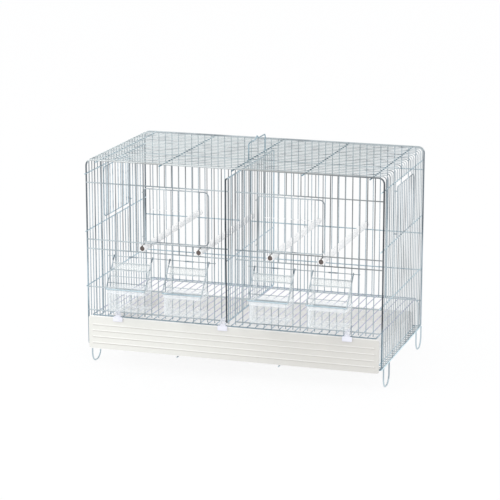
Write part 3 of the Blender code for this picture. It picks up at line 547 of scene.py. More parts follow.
# The first hoop of a kind, how many there are, and whether the left and the right side are cut
HOOP_KINDS = ((1, 6, False, False), (7, 1, False, True), (8, 7, True, True),
              (15, 1, True, False), (16, 6, False, False))
# Painted reflection on the hoops: grey over the flat of the roof, dark where they turn down the sides,
# pale blue lower on the sides, and a pair of their own on the right side
HOOP_ZINC = zinc("zinc_hoops", ((0.46, 0.515, 0.53), (0.29, 0.33, 0.35)), 0.40, (40.0, 95.0, 7.0), 8.0, (
    (UPWARD, 0.3415, 0.3380, (0.28, 0.33, 0.36), (0.12, 0.15, 0.17)),
    (UPWARD, 0.3280, 0.2600, (0.54, 0.64, 0.70), (0.30, 0.38, 0.43)),
    (ACROSS, 0.200, 0.240, (0.56, 0.62, 0.65), (0.21, 0.25, 0.28)),
))


def lower_part(side, depth, top):
    """A hoop's ledge and the stretch that climbs from it."""
    return [(side * LEDGE_END, depth, 0), (side * HALF, depth, 0, LEDGE_BEND), (side * HALF, depth, top)]


def hoop_paths(depth, left_cut, right_cut):
    """One hoop; a cut side is missing where its door is."""
    over = [(-HALF, depth, HEIGHT, ROOF_BEND), (HALF, depth, HEIGHT, ROOF_BEND)]
    ends, lower = [], []
    for side, cut in ((-1, left_cut), (1, right_cut)):
        if cut:
            ends.append([(side * HALF, depth, SIDE_TOP - LAP)])
            lower.append(lower_part(side, depth, SIDE_MIDDLE + LAP))
        else:
            ends.append(lower_part(side, depth, 0)[:2])
    before, after = ends
    return [before + over + after[::-1], *lower]


parts = []
for first, count, left_cut, right_cut in HOOP_KINDS:
    paths = hoop_paths(first * HOOP, left_cut, right_cut)
    parts.append(drawn(paths, THIN_WIRE, count, (0, HOOP, 0), sides=8))
shell = ["roof_grille", "side_grille_left", "side_grille_right", "ledge_left", "ledge_right"]
piece("shell_hoops", parts, HOOP_ZINC, "cage", shell)

# %% [markdown]
# ## Rails under the hoops
#
# Straight rails from front to back hold the hoops apart. They lie inside them and
# stick out a little at the front, past the end frame, where they were cut off.
# Each ledge has two such wires, one along each of its edges.

# %% Rails of the roof
MIDDLE_X = 0.0035
ROOF_RAIL_LEVEL = 0.3415
# Painted reflection: pale blue on the leftmost roof rail and the left side, dark on the other roof rails
SIDE_TONES = ((0.52, 0.65, 0.72), (0.28, 0.38, 0.45))
SIDE_ZINC = zinc("zinc_side_rail", SIDE_TONES, 0.35, (95.0, 26.0, 95.0), 12.0)
ROOF_TONES = ((0.19, 0.32, 0.39), (0.04, 0.08, 0.12))
RAIL_ZINC = zinc("zinc_roof_rail", ROOF_TONES, 0.58, (95.0, 30.0, 95.0), 5.0)


def rail(x, level, start=RAIL_FRONT):
    """A straight wire from front to back."""
    return [(x, start, level), (x, RAIL_BACK, level)]


ROOF_RAILS = (("left", SIDE_ZINC, (-0.2525,)), ("others", RAIL_ZINC, (-0.1315, MIDDLE_X, 0.1315, 0.2525)))
for word, surface, places in ROOF_RAILS:
    wires = drawn([rail(x, ROOF_RAIL_LEVEL) for x in places], 0.0024)
    piece(f"roof_rails_{word}", [wires], surface, "cage")

# %% Rails of the sides and the ledges
SIDE_RAIL_X = 0.2731
LEDGE_START = 0.001
# Painted reflection: the right side's rails are painted brighter than the left ones
BRIGHT_TONES = ((0.78, 0.94, 1.00), (0.50, 0.64, 0.72))
BRIGHT_ZINC = zinc("zinc_bright_rail", BRIGHT_TONES, 0.30, (95.0, 26.0, 95.0), 12.0)
for (side, word), surface in zip(SIDES, (SIDE_ZINC, BRIGHT_ZINC)):
    paths = [rail(side * SIDE_RAIL_X, level) for level in (SIDE_TOP, SIDE_MIDDLE, SIDE_LOW)]
    paths += [rail(side * 0.263, 0.0, LEDGE_START), rail(side * 0.2745, -0.0008, LEDGE_START)]
    wires = drawn(paths, 0.0022)
    piece(f"side_rails_{word}", [wires], surface, "cage")

# %% [markdown]
# ## What the cage stands on
#
# Four bent wires are its feet, two wires that dip at the front stiffen the bottom,
# and a low arch at the back carries the floor grid.

# %% Feet
FOOT_TOP, FOOT_LOW = -0.0006, -0.0385
FOOT_LENGTH, FOOT_BEND = 0.040, 0.0175
for side, word in SIDES:
    for end, start in (("front", 0.015), ("back", 0.2634)):
        x, stop = side * HALF, start + FOOT_LENGTH
        path = [(x, start, FOOT_TOP), (x, start, FOOT_LOW, FOOT_BEND),
                (x, stop, FOOT_LOW, FOOT_BEND), (x, stop, FOOT_TOP)]
        foot = drawn([path], 0.0028, sides=12, steps=12)
        piece(f"foot_{end}_{word}_bow", [foot], LIGHT_ZINC, "cage", [f"foot_{end}_{word}"])

# %% Base wires and floor rest
for x, word in ((-0.102, "left"), (0.089, "right")):
    path = [(x, DEPTH + 0.0012, -0.0026), (x, 0.010, -0.0026, 0.004),
            (x, 0.005, -0.0076, 0.004), (x, -0.0095, -0.0076)]
    wire = drawn([path], 0.0023)
    piece(f"base_wire_{word}_rod", [wire], LIGHT_ZINC, "cage", [f"base_wire_{word}"])
REST_X, REST_DEPTH, REST_TOP, REST_BEND = 0.272, 0.2952, 0.0517, 0.010
arch = [(-REST_X, REST_DEPTH, 0.0), (-REST_X, REST_DEPTH, REST_TOP, REST_BEND),
        (REST_X, REST_DEPTH, REST_TOP, REST_BEND), (REST_X, REST_DEPTH, 0.0)]
piece("floor_rest_arch", [drawn([arch], 0.0017)], LIGHT_ZINC, "cage", ["floor_rest"])

# %% [markdown]
# ## The floor grid
#
# Long wires from front to back lie on an edge wire that runs round the grid. They
# are one row of copies, and both follow the same gentle slope down to the back.

# %% Floor grid
GRID_FRONT, GRID_BACK = -0.0049, 0.2970
GRID_HALF = 0.265
GRID_FRONT_LEVEL, GRID_BACK_LEVEL = 0.0580, 0.0540
GRID_GAPS = 36


def grid_finish():
    """Painted reflection: teal at the front edge, fading to lavender where the tray shines on it, and
    darker at the back edge.
    """
    finish = Finish("zinc_floor")
    depth = finish.measures()[INWARD]
    drift = finish.noise(1.0, 1.5, 11.0, (70.0, 9.0, 70.0))
    tone = finish.mix(depth.ramp(-0.004, 0.010), (0.17, 0.27, 0.31), (0.42, 0.55, 0.64))
    tone = finish.mix(depth.ramp(0.010, 0.080), tone, (0.52, 0.51, 0.66))
    tone = finish.mix(depth.ramp(0.288, 0.296), tone, (0.34, 0.43, 0.48))
    finish.set(Base_Color=finish.mix(drift * 0.5, tone, (0.60, 0.64, 0.74)))
    finish.set(Roughness=0.28 + drift * 0.16, Metallic=0.80)
    return finish.material


GRID_ZINC = grid_finish()
corners = ((-GRID_HALF, GRID_FRONT, GRID_FRONT_LEVEL), (GRID_HALF, GRID_FRONT, GRID_FRONT_LEVEL),
           (GRID_HALF, GRID_BACK, GRID_BACK_LEVEL), (-GRID_HALF, GRID_BACK, GRID_BACK_LEVEL))
edge = drawn([[(*corner, 0.002) for corner in corners]], 0.0021, closed=True)
gap = 2 * GRID_HALF / GRID_GAPS
first = [(-GRID_HALF + gap, GRID_FRONT - 0.0008, GRID_FRONT_LEVEL + 0.0010),
         (-GRID_HALF + gap, GRID_BACK, GRID_BACK_LEVEL + 0.0009)]
wires = drawn([first], 0.0016, GRID_GAPS - 1, (gap, 0, 0), sides=8)
piece("floor_grid_wires", [edge, wires], GRID_ZINC, "floor_grid", ["floor_grid"])

# %% [markdown]
# ## The divider
#
# A light wire wall slides in through the slot between the front panels. It was
# photographed a little way out, so its thick front wire stands before the cage
# and mirrors the dark side of the room. That wire leans back a little towards its
# lower end. The middle wire lies against the uprights on the right.

# %% Divider
front, back, low, high = -0.0465, 0.2395, 0.0745, 0.3330
DIVIDER_LEAN, DIVIDER_MIDDLE = 0.0045, 0.187
DIVIDER_GAPS = 22
# Painted reflection: the rim is near black where its front wire mirrors the dark side of the room, and
# pale blue from a little behind the front
DARK_ZINC = zinc("zinc_dark", ((0.11, 0.125, 0.14), (0.02, 0.025, 0.03)), 0.64, seed=7.0, shading_changes=(
    (INWARD, -0.044, -0.037, (0.60, 0.74, 0.82), (0.40, 0.52, 0.60)),
))
# Painted reflection on the bars: nearly black from about 0.2 m up
BAR_TONES = ((0.50, 0.60, 0.66), (0.26, 0.34, 0.39))
DIVIDER_ZINC = zinc("zinc_divider", BAR_TONES, 0.50, (95.0, 60.0, 5.0), 10.0, (
    (UPWARD, 0.17, 0.22, (0.28, 0.33, 0.37), (0.02, 0.028, 0.04)),
))

gap = (back - front) / DIVIDER_GAPS
bar = [(MIDDLE_X, front + gap, low), (MIDDLE_X, front + gap, high)]
bars = drawn([bar], 0.0012, DIVIDER_GAPS - 1, (0, gap, 0), sides=8)
piece("divider_bars", [bars], DIVIDER_ZINC, "divider", ["divider"])
corners = ((front + DIVIDER_LEAN, low), (back, low), (back, high), (front, high), (front + 0.0006, 0.205))
edge = drawn([[(MIDDLE_X, *corner, 0.003) for corner in corners]], 0.0028, closed=True)
x = MIDDLE_X + 0.0008
middle = drawn([[(x, front - 0.003, DIVIDER_MIDDLE), (x, back, DIVIDER_MIDDLE)]], 0.0017)
piece("divider_rim", [edge, middle], DARK_ZINC, "divider")

# %% [markdown]
# ## The carry handle
#
# A bail with a small kink in the middle, where a hook can hold it. Both ends curl
# round the middle rail of the roof, so it can fall nearly flat to either side.

# %% Carry handle
LEVEL, FACING_FRONT, FACING_SIDE = (ACROSS, INWARD), (ACROSS, UPWARD), (INWARD, UPWARD)


def ring(centre, radius, plane, count=14):
    """A circle of points; the plane is the two measures that change on it."""
    points = []
    for i in range(count):
        turn = 2 * math.pi * i / count
        point = list(centre)
        point[plane[0]] += radius * math.cos(turn)
        point[plane[1]] += radius * math.sin(turn)
        points.append(tuple(point))
    return points


HANDLE_AXIS, HANDLE_TOP = 0.3400, 0.3730
HANDLE_FRONT, HANDLE_BACK = 0.0860, 0.1845
KINK_MIDDLE = (HANDLE_FRONT + HANDLE_BACK) / 2
KINK_REACH, KINK_RISE = 0.009, 0.0055
BAIL_ZINC = zinc("zinc_bail", ((0.40, 0.53, 0.60), (0.20, 0.29, 0.34)), 0.50, (60.0, 60.0, 30.0), 14.0)

foot = HANDLE_AXIS + 0.0030
profile = ((HANDLE_FRONT, foot, 0.0), (HANDLE_FRONT, HANDLE_TOP, 0.005),
           (KINK_MIDDLE - KINK_REACH, HANDLE_TOP, 0.003), (KINK_MIDDLE, HANDLE_TOP + KINK_RISE, 0.003),
           (KINK_MIDDLE + KINK_REACH, HANDLE_TOP, 0.003),
           (HANDLE_BACK, HANDLE_TOP, 0.005), (HANDLE_BACK, foot, 0.0))
bail = drawn([[(MIDDLE_X, *point) for point in profile]], 0.0023, sides=12)
ends = (HANDLE_FRONT, HANDLE_BACK)
eyes = [ring((MIDDLE_X, depth, HANDLE_AXIS), 0.0029, FACING_FRONT) for depth in ends]
curled = drawn(eyes, 0.0016, closed=True)
piece("carry_handle_bail", [bail, curled], BAIL_ZINC, "carry_handle", ["carry_handle"])

# %% [markdown]
# ## Doors
#
# Each door is a wire frame with round corners on its free side, filled with the
# same uprights as the wall behind it. Small eyes at its top and bottom hold one
# wire of the cage as a hinge pin. The same maker serves the front and the sides:
# it only needs to know where the pin stands, which way the door runs from it and
# which way it faces.

# %% A maker for doors
DOOR_OFF = 0.0030
HINGE_CORNER, FREE_CORNER = 0.003, 0.009


def door_parts(hinge, along, out, gap, low, high):
    """Frame, bars and hinge eyes of a door nine gaps wide. The hinge, the way that
    the door runs along and the way out of the wall are each across and inward."""
    def spot(distance, height, off=DOOR_OFF):
        """A place this far from the hinge and this far before the wall."""
        x = hinge[0] + along[0] * distance + out[0] * off
        return (x, hinge[1] + along[1] * distance + out[1] * off, height)

    length = 9 * gap + 0.0039
    corners = ((HINGE_CORNER, low), (length, low), (length, high), (HINGE_CORNER, high))
    bends = (HINGE_CORNER, FREE_CORNER, FREE_CORNER, HINGE_CORNER)
    frame_path = [(*spot(*corner), bend) for corner, bend in zip(corners, bends)]
    bar = [spot(gap, low), spot(gap, high)]
    step = (along[0] * gap, along[1] * gap, 0)
    eyes, arms = [], []
    for level in (low + 0.008, high - 0.008):
        eyes.append(ring(spot(0, level, off=0), 0.0024, LEVEL))
        arms.append([spot(0.0004, level), spot(0.0032, level)])
    return [drawn([frame_path], 0.0020, closed=True), drawn([bar], 0.0017, 8, step, sides=8),
            drawn(eyes, 0.0014, closed=True), drawn(arms, 0.0014)]


print("doors stand", DOOR_OFF, "m before their wall")

# %% Front doors
FRONT_HINGES = {"left": -upright_x(12), "right": upright_x(3)}
DOOR_ZINC = zinc("zinc_doors", ((0.50, 0.56, 0.59), (0.22, 0.25, 0.28)), 0.45, (40.0, 40.0, 9.0), 17.0)
for word, hinge_x in FRONT_HINGES.items():
    name = f"front_door_{word}"
    parts = door_parts((hinge_x, 0), (1, 0), (0, -1), PITCH, 0.201, 0.298)
    piece(f"{name}_leaf", parts, DOOR_ZINC, name, [name])

# %% Side doors
# The left one hangs at its back edge and the right one at its front edge: each row
# has the side, the hoop that is its pin, the way that it runs and its finish
# Painted reflection: the left door shares the pale blue of the left side's rails, and the right door has a
# pair of tones of its own
LATTICE_TONES = ((0.52, 0.59, 0.63), (0.18, 0.22, 0.25))
LATTICE_ZINC = zinc("zinc_lattice", LATTICE_TONES, 0.50, (40.0, 40.0, 9.0), 17.0)
SIDE_HINGES = ((-1, "left", 16, -1, SIDE_ZINC), (1, "right", 6, 1, LATTICE_ZINC))
for side, word, hoop, way, surface in SIDE_HINGES:
    name = f"side_door_{word}"
    parts = door_parts((side * HALF, hoop * HOOP), (0, way), (side, 0), HOOP, 0.219, 0.312)
    piece(f"{name}_leaf", parts, surface, name, [name])

# %% [markdown]
# ## Pale plastic
#
# The perches, the pulls' beads and the grid's clips are moulded in slightly
# different whites. Moulded plastic is never one flat colour: it has a soft gloss,
# faint clouds where it cooled, and a very fine skin. One maker gives these to
# each, from its two colours.

# %% Moulded plastics
CLOUDS = 14.0
SKIN = 1400.0


def moulded_skin(finish, clouds, roughness, seed):
    """The gloss and the very fine grain of a moulded surface."""
    fine = finish.noise(SKIN, 2.0, seed)
    finish.set(Roughness=roughness + fine * 0.12 + clouds * 0.05)
    finish.bump(fine, 0.10, 0.0004)


def moulded(name, colour, shade, roughness, seed):
    """A moulded plastic; its clouds go from the colour to the shade."""
    finish = Finish(name)
    clouds = finish.noise(CLOUDS, 3.0, seed)
    finish.set(Base_Color=finish.mix(clouds.ramp(0.35, 0.75), colour, shade))
    moulded_skin(finish, clouds, roughness, seed + 1.0)
    return finish.material


WHITE = moulded("plastic_white", (0.86, 0.86, 0.92), (0.80, 0.80, 0.88), 0.34, 2.0)
IVORY = moulded("plastic_ivory", (0.985, 0.98, 0.97), (0.965, 0.96, 0.95), 0.38, 3.0)
# Painted shade for the inside of the perches' bores
BORE_SHADE = moulded("bore_painted_shade", (0.135, 0.105, 0.095), (0.08, 0.06, 0.052), 0.45, 4.0)
print("plastics:", WHITE.name, IVORY.name, BORE_SHADE.name)

# %% [markdown]
# ## Skins over rings
#
# Whatever isn't wire is skinned: rings of equally many points are set one behind
# the other and joined by faces. Where a slot has to be cut or an edge softened, a
# modifier does it and the result is taken off as a plain mesh, as with the wire.

# %% Skins, blocks and cuts
def from_rings(rings, closed=False):
    """Skin over rings, capped at both ends, or closed where the last meets the first."""
    count = len(rings[0])
    points = [point for one in rings for point in one]
    faces = []
    for level in range(len(rings) if closed else len(rings) - 1):
        this, after = level * count, ((level + 1) % len(rings)) * count
        for i in range(count):
            j = (i + 1) % count
            faces.append((this + i, this + j, after + j, after + i))
    if not closed:
        faces.append(tuple(range(count))[::-1])
        faces.append(tuple((len(rings) - 1) * count + i for i in range(count)))
    mesh = bpy.data.meshes.new("skin")
    mesh.from_pydata(points, [], faces)
    work = bmesh.new()
    work.from_mesh(mesh)
    bmesh.ops.recalc_face_normals(work, faces=work.faces)
    work.to_mesh(mesh)
    work.free()
    return mesh


def round_at(centre, radius, plane, count):
    """The scene's points for a circle."""
    return [at(*point) for point in ring(centre, radius, plane, count)]


def box_mesh(x, depth, height):
    """A plain block between two corners."""
    return from_rings([[at(x[0], depth[0], level), at(x[1], depth[0], level),
                        at(x[1], depth[1], level), at(x[0], depth[1], level)] for level in height])


def shaped(mesh, cutters=(), bevel=0.0):
    """A mesh with others cut out of it, or with its edges softened."""
    holder = placed("bench", mesh)
    tools = [placed("tool", cutter) for cutter in cutters]
    for tool in tools:
        cut = holder.modifiers.new("cut", "BOOLEAN")
        cut.solver = "EXACT"
        cut.operation = "DIFFERENCE"
        cut.object = tool
    if bevel:
        edge = holder.modifiers.new("edge", "BEVEL")
        edge.width = bevel
        edge.segments = 2
        edge.limit_method = "ANGLE"
        edge.angle_limit = math.radians(35)
    result = taken_off(holder)
    for tool in tools:
        bpy.data.objects.remove(tool)
    return result


print("skins, blocks and cuts are ready")

# %% [markdown]
# ## Perches
#
# A perch is a stiff tube whose ends are slotted, so that it clips over one wire
# of the front and one of the back. Its wall shows as a pale ring round a shaded
# bore. Rings from bore to outside and back make a true wall, and a Boolean cuts
# the slots. The bore's shade is painted: a dark core of its own that starts a
# little inside.

# %% Perches
PERCH_LEVEL = 0.1892
PERCH_START, PERCH_END = -0.010, 0.3045
PERCH_PLACES = (-upright_x(12), -upright_x(4), upright_x(5), upright_x(12))
END_EDGE = ((0.0045, 0.0005), (0.0049, 0.0), (0.0056, 0.0), (0.0060, 0.0005))
BORE, BORE_START = 0.00445, 0.0014
SLOT_HALF = 0.0015
SLOT_DEPTHS = ((-0.022, 0.0039), (0.2961, 0.3165))
SLOT_LEVELS = (PERCH_LEVEL - 0.012, PERCH_LEVEL + 0.012)

profile = [(radius, PERCH_START + inset) for radius, inset in END_EDGE]
profile += [(radius, PERCH_END - inset) for radius, inset in reversed(END_EDGE)]
for number, x in enumerate(PERCH_PLACES, 1):
    rings = [round_at((x, depth, PERCH_LEVEL), radius, FACING_FRONT, 28) for radius, depth in profile]
    slots = [box_mesh((x - SLOT_HALF, x + SLOT_HALF), depth, SLOT_LEVELS) for depth in SLOT_DEPTHS]
    tube = shaped(from_rings(rings, closed=True), slots)
    piece(f"perch_{number}_tube", [tube], IVORY, "cage", [f"perch_{number}"])
    # The bore's painted shade: a dark core a little inside the tube
    core = from_rings([round_at((x, depth, PERCH_LEVEL), BORE, FACING_FRONT, 20)
                       for depth in (PERCH_START + BORE_START, PERCH_END - BORE_START)])
    piece(f"perch_{number}_core", [core], BORE_SHADE, "cage")

# %% [markdown]
# ## Door pulls
#
# A thin wire behind each front door ends in a bead: pulling the bead swings the
# door. The bead is a small ball, a little flat at its top and bottom.

# %% Door pulls
PULL_PLANE, PULL_LEVEL = -0.0012, 0.260
PULL_START, PULL_END = 0.0135, 0.1035
BEAD_RADIUS, BEAD_STEPS = 0.0039, 10


def bead_mesh(x, depth, height):
    """A ball of level rings."""
    rings = []
    for i in range(1, BEAD_STEPS):
        turn = math.pi * i / BEAD_STEPS
        centre = (x, depth, height + BEAD_RADIUS * math.cos(turn))
        rings.append(round_at(centre, BEAD_RADIUS * math.sin(turn), LEVEL, 20))
    return from_rings(rings)


for word, hinge_x in FRONT_HINGES.items():
    end = hinge_x + PULL_END
    path = [(hinge_x + PULL_START, PULL_PLANE, PULL_LEVEL), (end, PULL_PLANE, PULL_LEVEL),
            (end + 0.0026, 0.0016, PULL_LEVEL)]
    wire = drawn([path], 0.0012, sides=8)
    bead = bead_mesh(end + 0.003, PULL_PLANE + 0.004, PULL_LEVEL)
    piece(f"door_pull_{word}_bead", [wire, bead], IVORY, f"front_door_{word}", [f"door_pull_{word}"])

# %% [markdown]
# ## The tray
#
# A shallow pan hangs behind a tall front plate with four raised ribs. The plate
# is a flat rounded rectangle, so it is skinned from four rings; each rib is the
# same rounded bar with round ends; the pan is a stack of rounded rings that turns
# inwards at its rim. The colour carries painted light that follows the plate: it
# gets darker to the right as painted shade, each rib has a painted highlight
# along its top and a painted shadow under it, and the pan is painted paler.

# %% Rounded rings and plates
def arcs(corners, height, steps):
    """A level ring of quarter circles; each has a centre, a first angle and a radius."""
    points = []
    for x, depth, start, radius in corners:
        for i in range(steps + 1):
            turn = math.radians(start + 90 * i / steps)
            points.append(at(x + radius * math.cos(turn), depth + radius * math.sin(turn), height))
    return points


def round_ring(x, depth, height, radius, steps=5):
    """A level rounded rectangle."""
    left, right = x[0] + radius, x[1] - radius
    front, back = depth[0] + radius, depth[1] - radius
    corners = ((right, front, -90, radius), (right, back, 0, radius),
               (left, back, 90, radius), (left, front, 180, radius))
    return arcs(corners, height, steps)


def upright_ring(x, depth, height, radius, steps=6):
    """A rounded rectangle that stands up, facing the front."""
    flat = round_ring(x, height, 0.0, radius, steps)
    return [Vector((point.x, FRONT_Y + depth, LEDGE_Z + point.y - FRONT_Y)) for point in flat]


def plate_mesh(x, depth, height, radius, soft):
    """An upright plate with soft edges."""
    front, back = depth
    rings = []
    for inset, plane in ((soft, front), (0.0, front + soft), (0.0, back - soft), (soft, back)):
        wide = (x[0] + inset, x[1] - inset)
        tall = (height[0] + inset, height[1] - inset)
        rings.append(upright_ring(wide, plane, tall, radius))
    return from_rings(rings)


print("rounded rings and plates are ready")

# %% The tray's cream finish
RIBS = (0.041, 0.030, 0.0185, 0.007)
# Where each rib's painted highlight and its painted shadow lie, from its middle
RIB_LIGHT = (-0.0002, 0.0006, 0.0008, 0.0016)
RIB_SHADE = (-0.0030, -0.0016, -0.0010, -0.0002)


def cream_plastic():
    """Cream, with painted shade darker to the right, a painted highlight and a painted shadow along each
    rib, painted highlights on the plate's edges and a pan painted paler.
    """
    finish = Finish("plastic_cream")
    across, depth, height = finish.measures()
    clouds = finish.noise(CLOUDS, 3.0, 1.0)
    # Painted shade: the plate gets darker to the right, away from the light on the left
    front = finish.mix(across.ramp(-0.20, 0.20), (0.80, 0.795, 0.745), (0.655, 0.64, 0.60))
    front = finish.mix(clouds * 0.25, front, (0.72, 0.705, 0.66))
    # Painted highlights along the ribs' tops and painted shadows under them, and painted highlights on the
    # plate's top and bottom edges, all fainter to the right
    bright = sum(height.stripe(*(rib + off for off in RIB_LIGHT)) for rib in RIBS)
    dim = sum(height.stripe(*(rib + off for off in RIB_SHADE)) for rib in RIBS)
    along = across.stripe(-0.2655, -0.2625, 0.2625, 0.2655)
    edges = height.ramp(0.0550, 0.0562) + height.ramp(-0.0034, -0.0044)
    lit_from_left = 1 - across.ramp(-0.18, 0.16) * 0.75
    front = finish.mix((bright * along + edges) * (0.45 + lit_from_left * 0.30), front, (0.97, 0.965, 0.94))
    front = finish.mix(dim * along * lit_from_left * 0.42, front, (0.52, 0.50, 0.46))
    # Painted light: the pan is painted paler than the plate
    pan = finish.mix(clouds, (0.97, 0.965, 0.95), (0.91, 0.895, 0.865))
    finish.set(Base_Color=finish.mix(depth.ramp(-0.0060, -0.0045), front, pan))
    moulded_skin(finish, clouds, 0.36, 2.0)
    return finish.material


CREAM = cream_plastic()
print("finish:", CREAM.name)

# %% Tray
PLATE_FRONT, PLATE_BACK = -0.0086, -0.0066
PLATE_HALF, PLATE_HEIGHT = 0.272, (-0.005, 0.057)
RIB_HALF, RIB_RISE = 0.265, 0.0012
# How far a ring of a rib is set in, and how far it stands out of the plate
RIB_PROFILE = ((0.0, -0.0004), (0.00025, 0.0006), (0.0006, 0.0010), (0.00105, 0.0012))
PAN_HALF, PAN_FRONT, PAN_BACK = 0.266, -0.0076, 0.285
# How far a ring of the pan is set in, its height and its corners, up the outside and down the inside
PAN_PROFILE = ((0.0040, 0.0018, 0.010), (0.0012, 0.0050, 0.012), (0.0, 0.0300, 0.013),
               (0.0, 0.0318, 0.013), (0.0020, 0.0318, 0.011), (0.0032, 0.0060, 0.010),
               (0.0060, 0.0038, 0.008))

parts = [plate_mesh((-PLATE_HALF, PLATE_HALF), (PLATE_FRONT, PLATE_BACK), PLATE_HEIGHT, 0.005, 0.0005)]
for level in RIBS:
    rings = []
    for inset, out in RIB_PROFILE:
        rise = RIB_RISE - inset
        wide = (-RIB_HALF + inset, RIB_HALF - inset)
        rings.append(upright_ring(wide, PLATE_FRONT - out, (level - rise, level + rise), rise * 0.9, 4))
    parts.append(from_rings(rings))
rings = []
for inset, level, radius in PAN_PROFILE:
    wide = (-PAN_HALF + inset, PAN_HALF - inset)
    rings.append(round_ring(wide, (PAN_FRONT + inset * 0.4, PAN_BACK - inset), level, radius))
parts.append(from_rings(rings))
piece("tray_moulding", parts, CREAM, "tray", ["tray"], smooth=32)

# %% [markdown]
# ## Clips
#
# Three clips reach over the tray's front plate and hold the grid's front wire.
# Each is a small white block before the plate, and a narrower neck above it that
# gets thinner and clearer towards its top. All their edges are softened.

# %% Grid clips
CLIPS = ((-0.2145, "left"), (-0.0150, "middle"), (0.2145, "right"))
BLOCK_HALF, BLOCK_DEPTH, BLOCK_HEIGHT = 0.0090, (-0.0119, -0.0089), (0.050, 0.059)
NECK_HALF = 0.00525
NECK_PROFILE = ((0.0, 0.0575), (0.0002, 0.0640), (0.0006, 0.0700), (0.0014, 0.0716), (0.0026, 0.0720))


def neck_finish():
    """The clip's white, clearer towards the top of the neck."""
    finish = Finish("plastic_neck")
    clouds = finish.noise(60.0, 2.0, 14.0)
    clearer = finish.measures()[UPWARD].ramp(0.0590, 0.0640)
    finish.set(Base_Color=finish.mix(clouds, (0.90, 0.90, 0.95), (0.84, 0.85, 0.91)))
    finish.set(Roughness=0.25 + clouds * 0.15, Alpha=0.92 - clearer * 0.52)
    return finish.material


NECK = neck_finish()
for x, word in CLIPS:
    block = plate_mesh((x - BLOCK_HALF, x + BLOCK_HALF), BLOCK_DEPTH, BLOCK_HEIGHT, 0.0016, 0.0006)
    piece(f"grid_clip_{word}_block", [block], WHITE, "floor_grid", [f"grid_clip_{word}"])
    rings = []
    for inset, level in NECK_PROFILE:
        wide = (x - NECK_HALF + inset, x + NECK_HALF - inset)
        rings.append(round_ring(wide, (-0.0104 + inset * 0.3, -0.0062 - inset * 0.3), level, 0.0012, 3))
    piece(f"grid_clip_{word}_neck", [from_rings(rings)], NECK, "floor_grid")

# %% [markdown]
# ## Clear plastic
#
# The feeders are clear but not invisible: rims and corners gather light and look
# white, faces seen at a slant are milky, and the walls carry a faint haze. So the
# meshes mark their own edges in an attribute, and the finish paints a white
# highlight there and lets light straight through everywhere else, without the
# noise of real refraction.

# %% Clear plastic
def clear_plastic(name, solid):
    """Clear plastic; solid is how much of it one sees where it is flat and bare."""
    finish = Finish(name)
    facing = finish.node("ShaderNodeLayerWeight", values={"Blend": 0.30}, output="Facing")
    haze = finish.noise(1.0, 2.0, 9.0, (60.0, 60.0, 30.0))
    rim = finish.node("ShaderNodeAttribute", {"attribute_name": "edge"}, output="Fac")
    body = finish.mix(haze, (0.76, 0.80, 0.79), (0.86, 0.89, 0.88))
    # Painted highlight: the marked rims and corners are whiter and more solid
    finish.set(Base_Color=finish.mix(rim * 2.2, body, (0.93, 0.96, 0.97)))
    finish.set(Roughness=0.06 + haze * 0.10, Alpha=solid + facing * 0.06 + haze * 0.02 + rim * 1.05)
    return finish.material


def mark_highlights(mesh, weight):
    """Writes how much painted highlight each vertex gets as an edge, from its number."""
    marks = mesh.attributes.new("edge", "FLOAT", "POINT")
    marks.data.foreach_set("value", [weight(index) for index in range(len(mesh.vertices))])
    return mesh


CLEAR = clear_plastic("plastic_clear", 0.01)
MILKY = clear_plastic("plastic_milky", 0.22)
FEEDER_PLACES = {"inner": upright_x(3) + 2.5 * PITCH, "outer": upright_x(11) + 2.5 * PITCH}
FEEDERS = [(f"{word}_{order}", side * offset)
           for side, word in SIDES for order, offset in FEEDER_PLACES.items()]
print("feeders:", ", ".join(where for where, x in FEEDERS))

# %% [markdown]
# ## Seed cups and hoods
#
# A cup is a tapered box with round front corners and a lip; it hangs in front of
# the panel on a small tab. Its rings go up the outside, over the lip and down the
# inside. Above it stands the hood: two cheeks that follow the slope of the flap,
# a bar between them at the bottom, and a sloped ribbed band at the top.

# %% Cups
CUP_STEPS = 6
CUP_POINTS = 4 * (CUP_STEPS + 1)
BACK_CORNER = 0.0016
CUP_BACKS = (-0.0027, -0.0043)
# Half the width, the front, the height, the front corners, outside or inside, how much painted highlight
# it gets as an edge
CUP_PROFILE = (
    (0.0318, -0.0406, 0.0780, 0.0040, 0, 0.10), (0.0344, -0.0432, 0.0788, 0.0062, 0, 0.34),
    (0.0355, -0.0443, 0.0808, 0.0075, 0, 0.20), (0.0356, -0.0444, 0.0835, 0.0076, 0, 0.02),
    (0.0358, -0.0447, 0.1100, 0.0080, 0, 0.00),
    (0.0362, -0.0452, 0.1114, 0.0080, 0, 0.42), (0.0370, -0.0460, 0.1122, 0.0080, 0, 0.48),
    (0.0370, -0.0460, 0.1166, 0.0080, 0, 0.34), (0.0366, -0.0456, 0.1175, 0.0078, 0, 0.44),
    (0.0350, -0.0440, 0.1175, 0.0070, 1, 0.50), (0.0344, -0.0434, 0.1166, 0.0066, 1, 0.05),
    (0.0341, -0.0430, 0.0830, 0.0062, 1, 0.00), (0.0330, -0.0418, 0.0806, 0.0050, 1, 0.12),
    (0.0305, -0.0395, 0.0797, 0.0030, 1, 0.04),
)
# How much painted highlight the corners get as edges, point by point round a ring
CUP_CORNERS = {0: 0.15, 1: 0.55, 2: 0.55, 3: 0.55, 4: 0.3, 9: 0.15, 10: 0.15, 13: 0.2, 14: 0.4, 15: 0.55,
               16: 0.55, 17: 0.5, 18: 0.4, 19: 0.26, 20: 0.12, 21: 0.0, 23: 0.12, 24: 0.16, 25: 0.1}


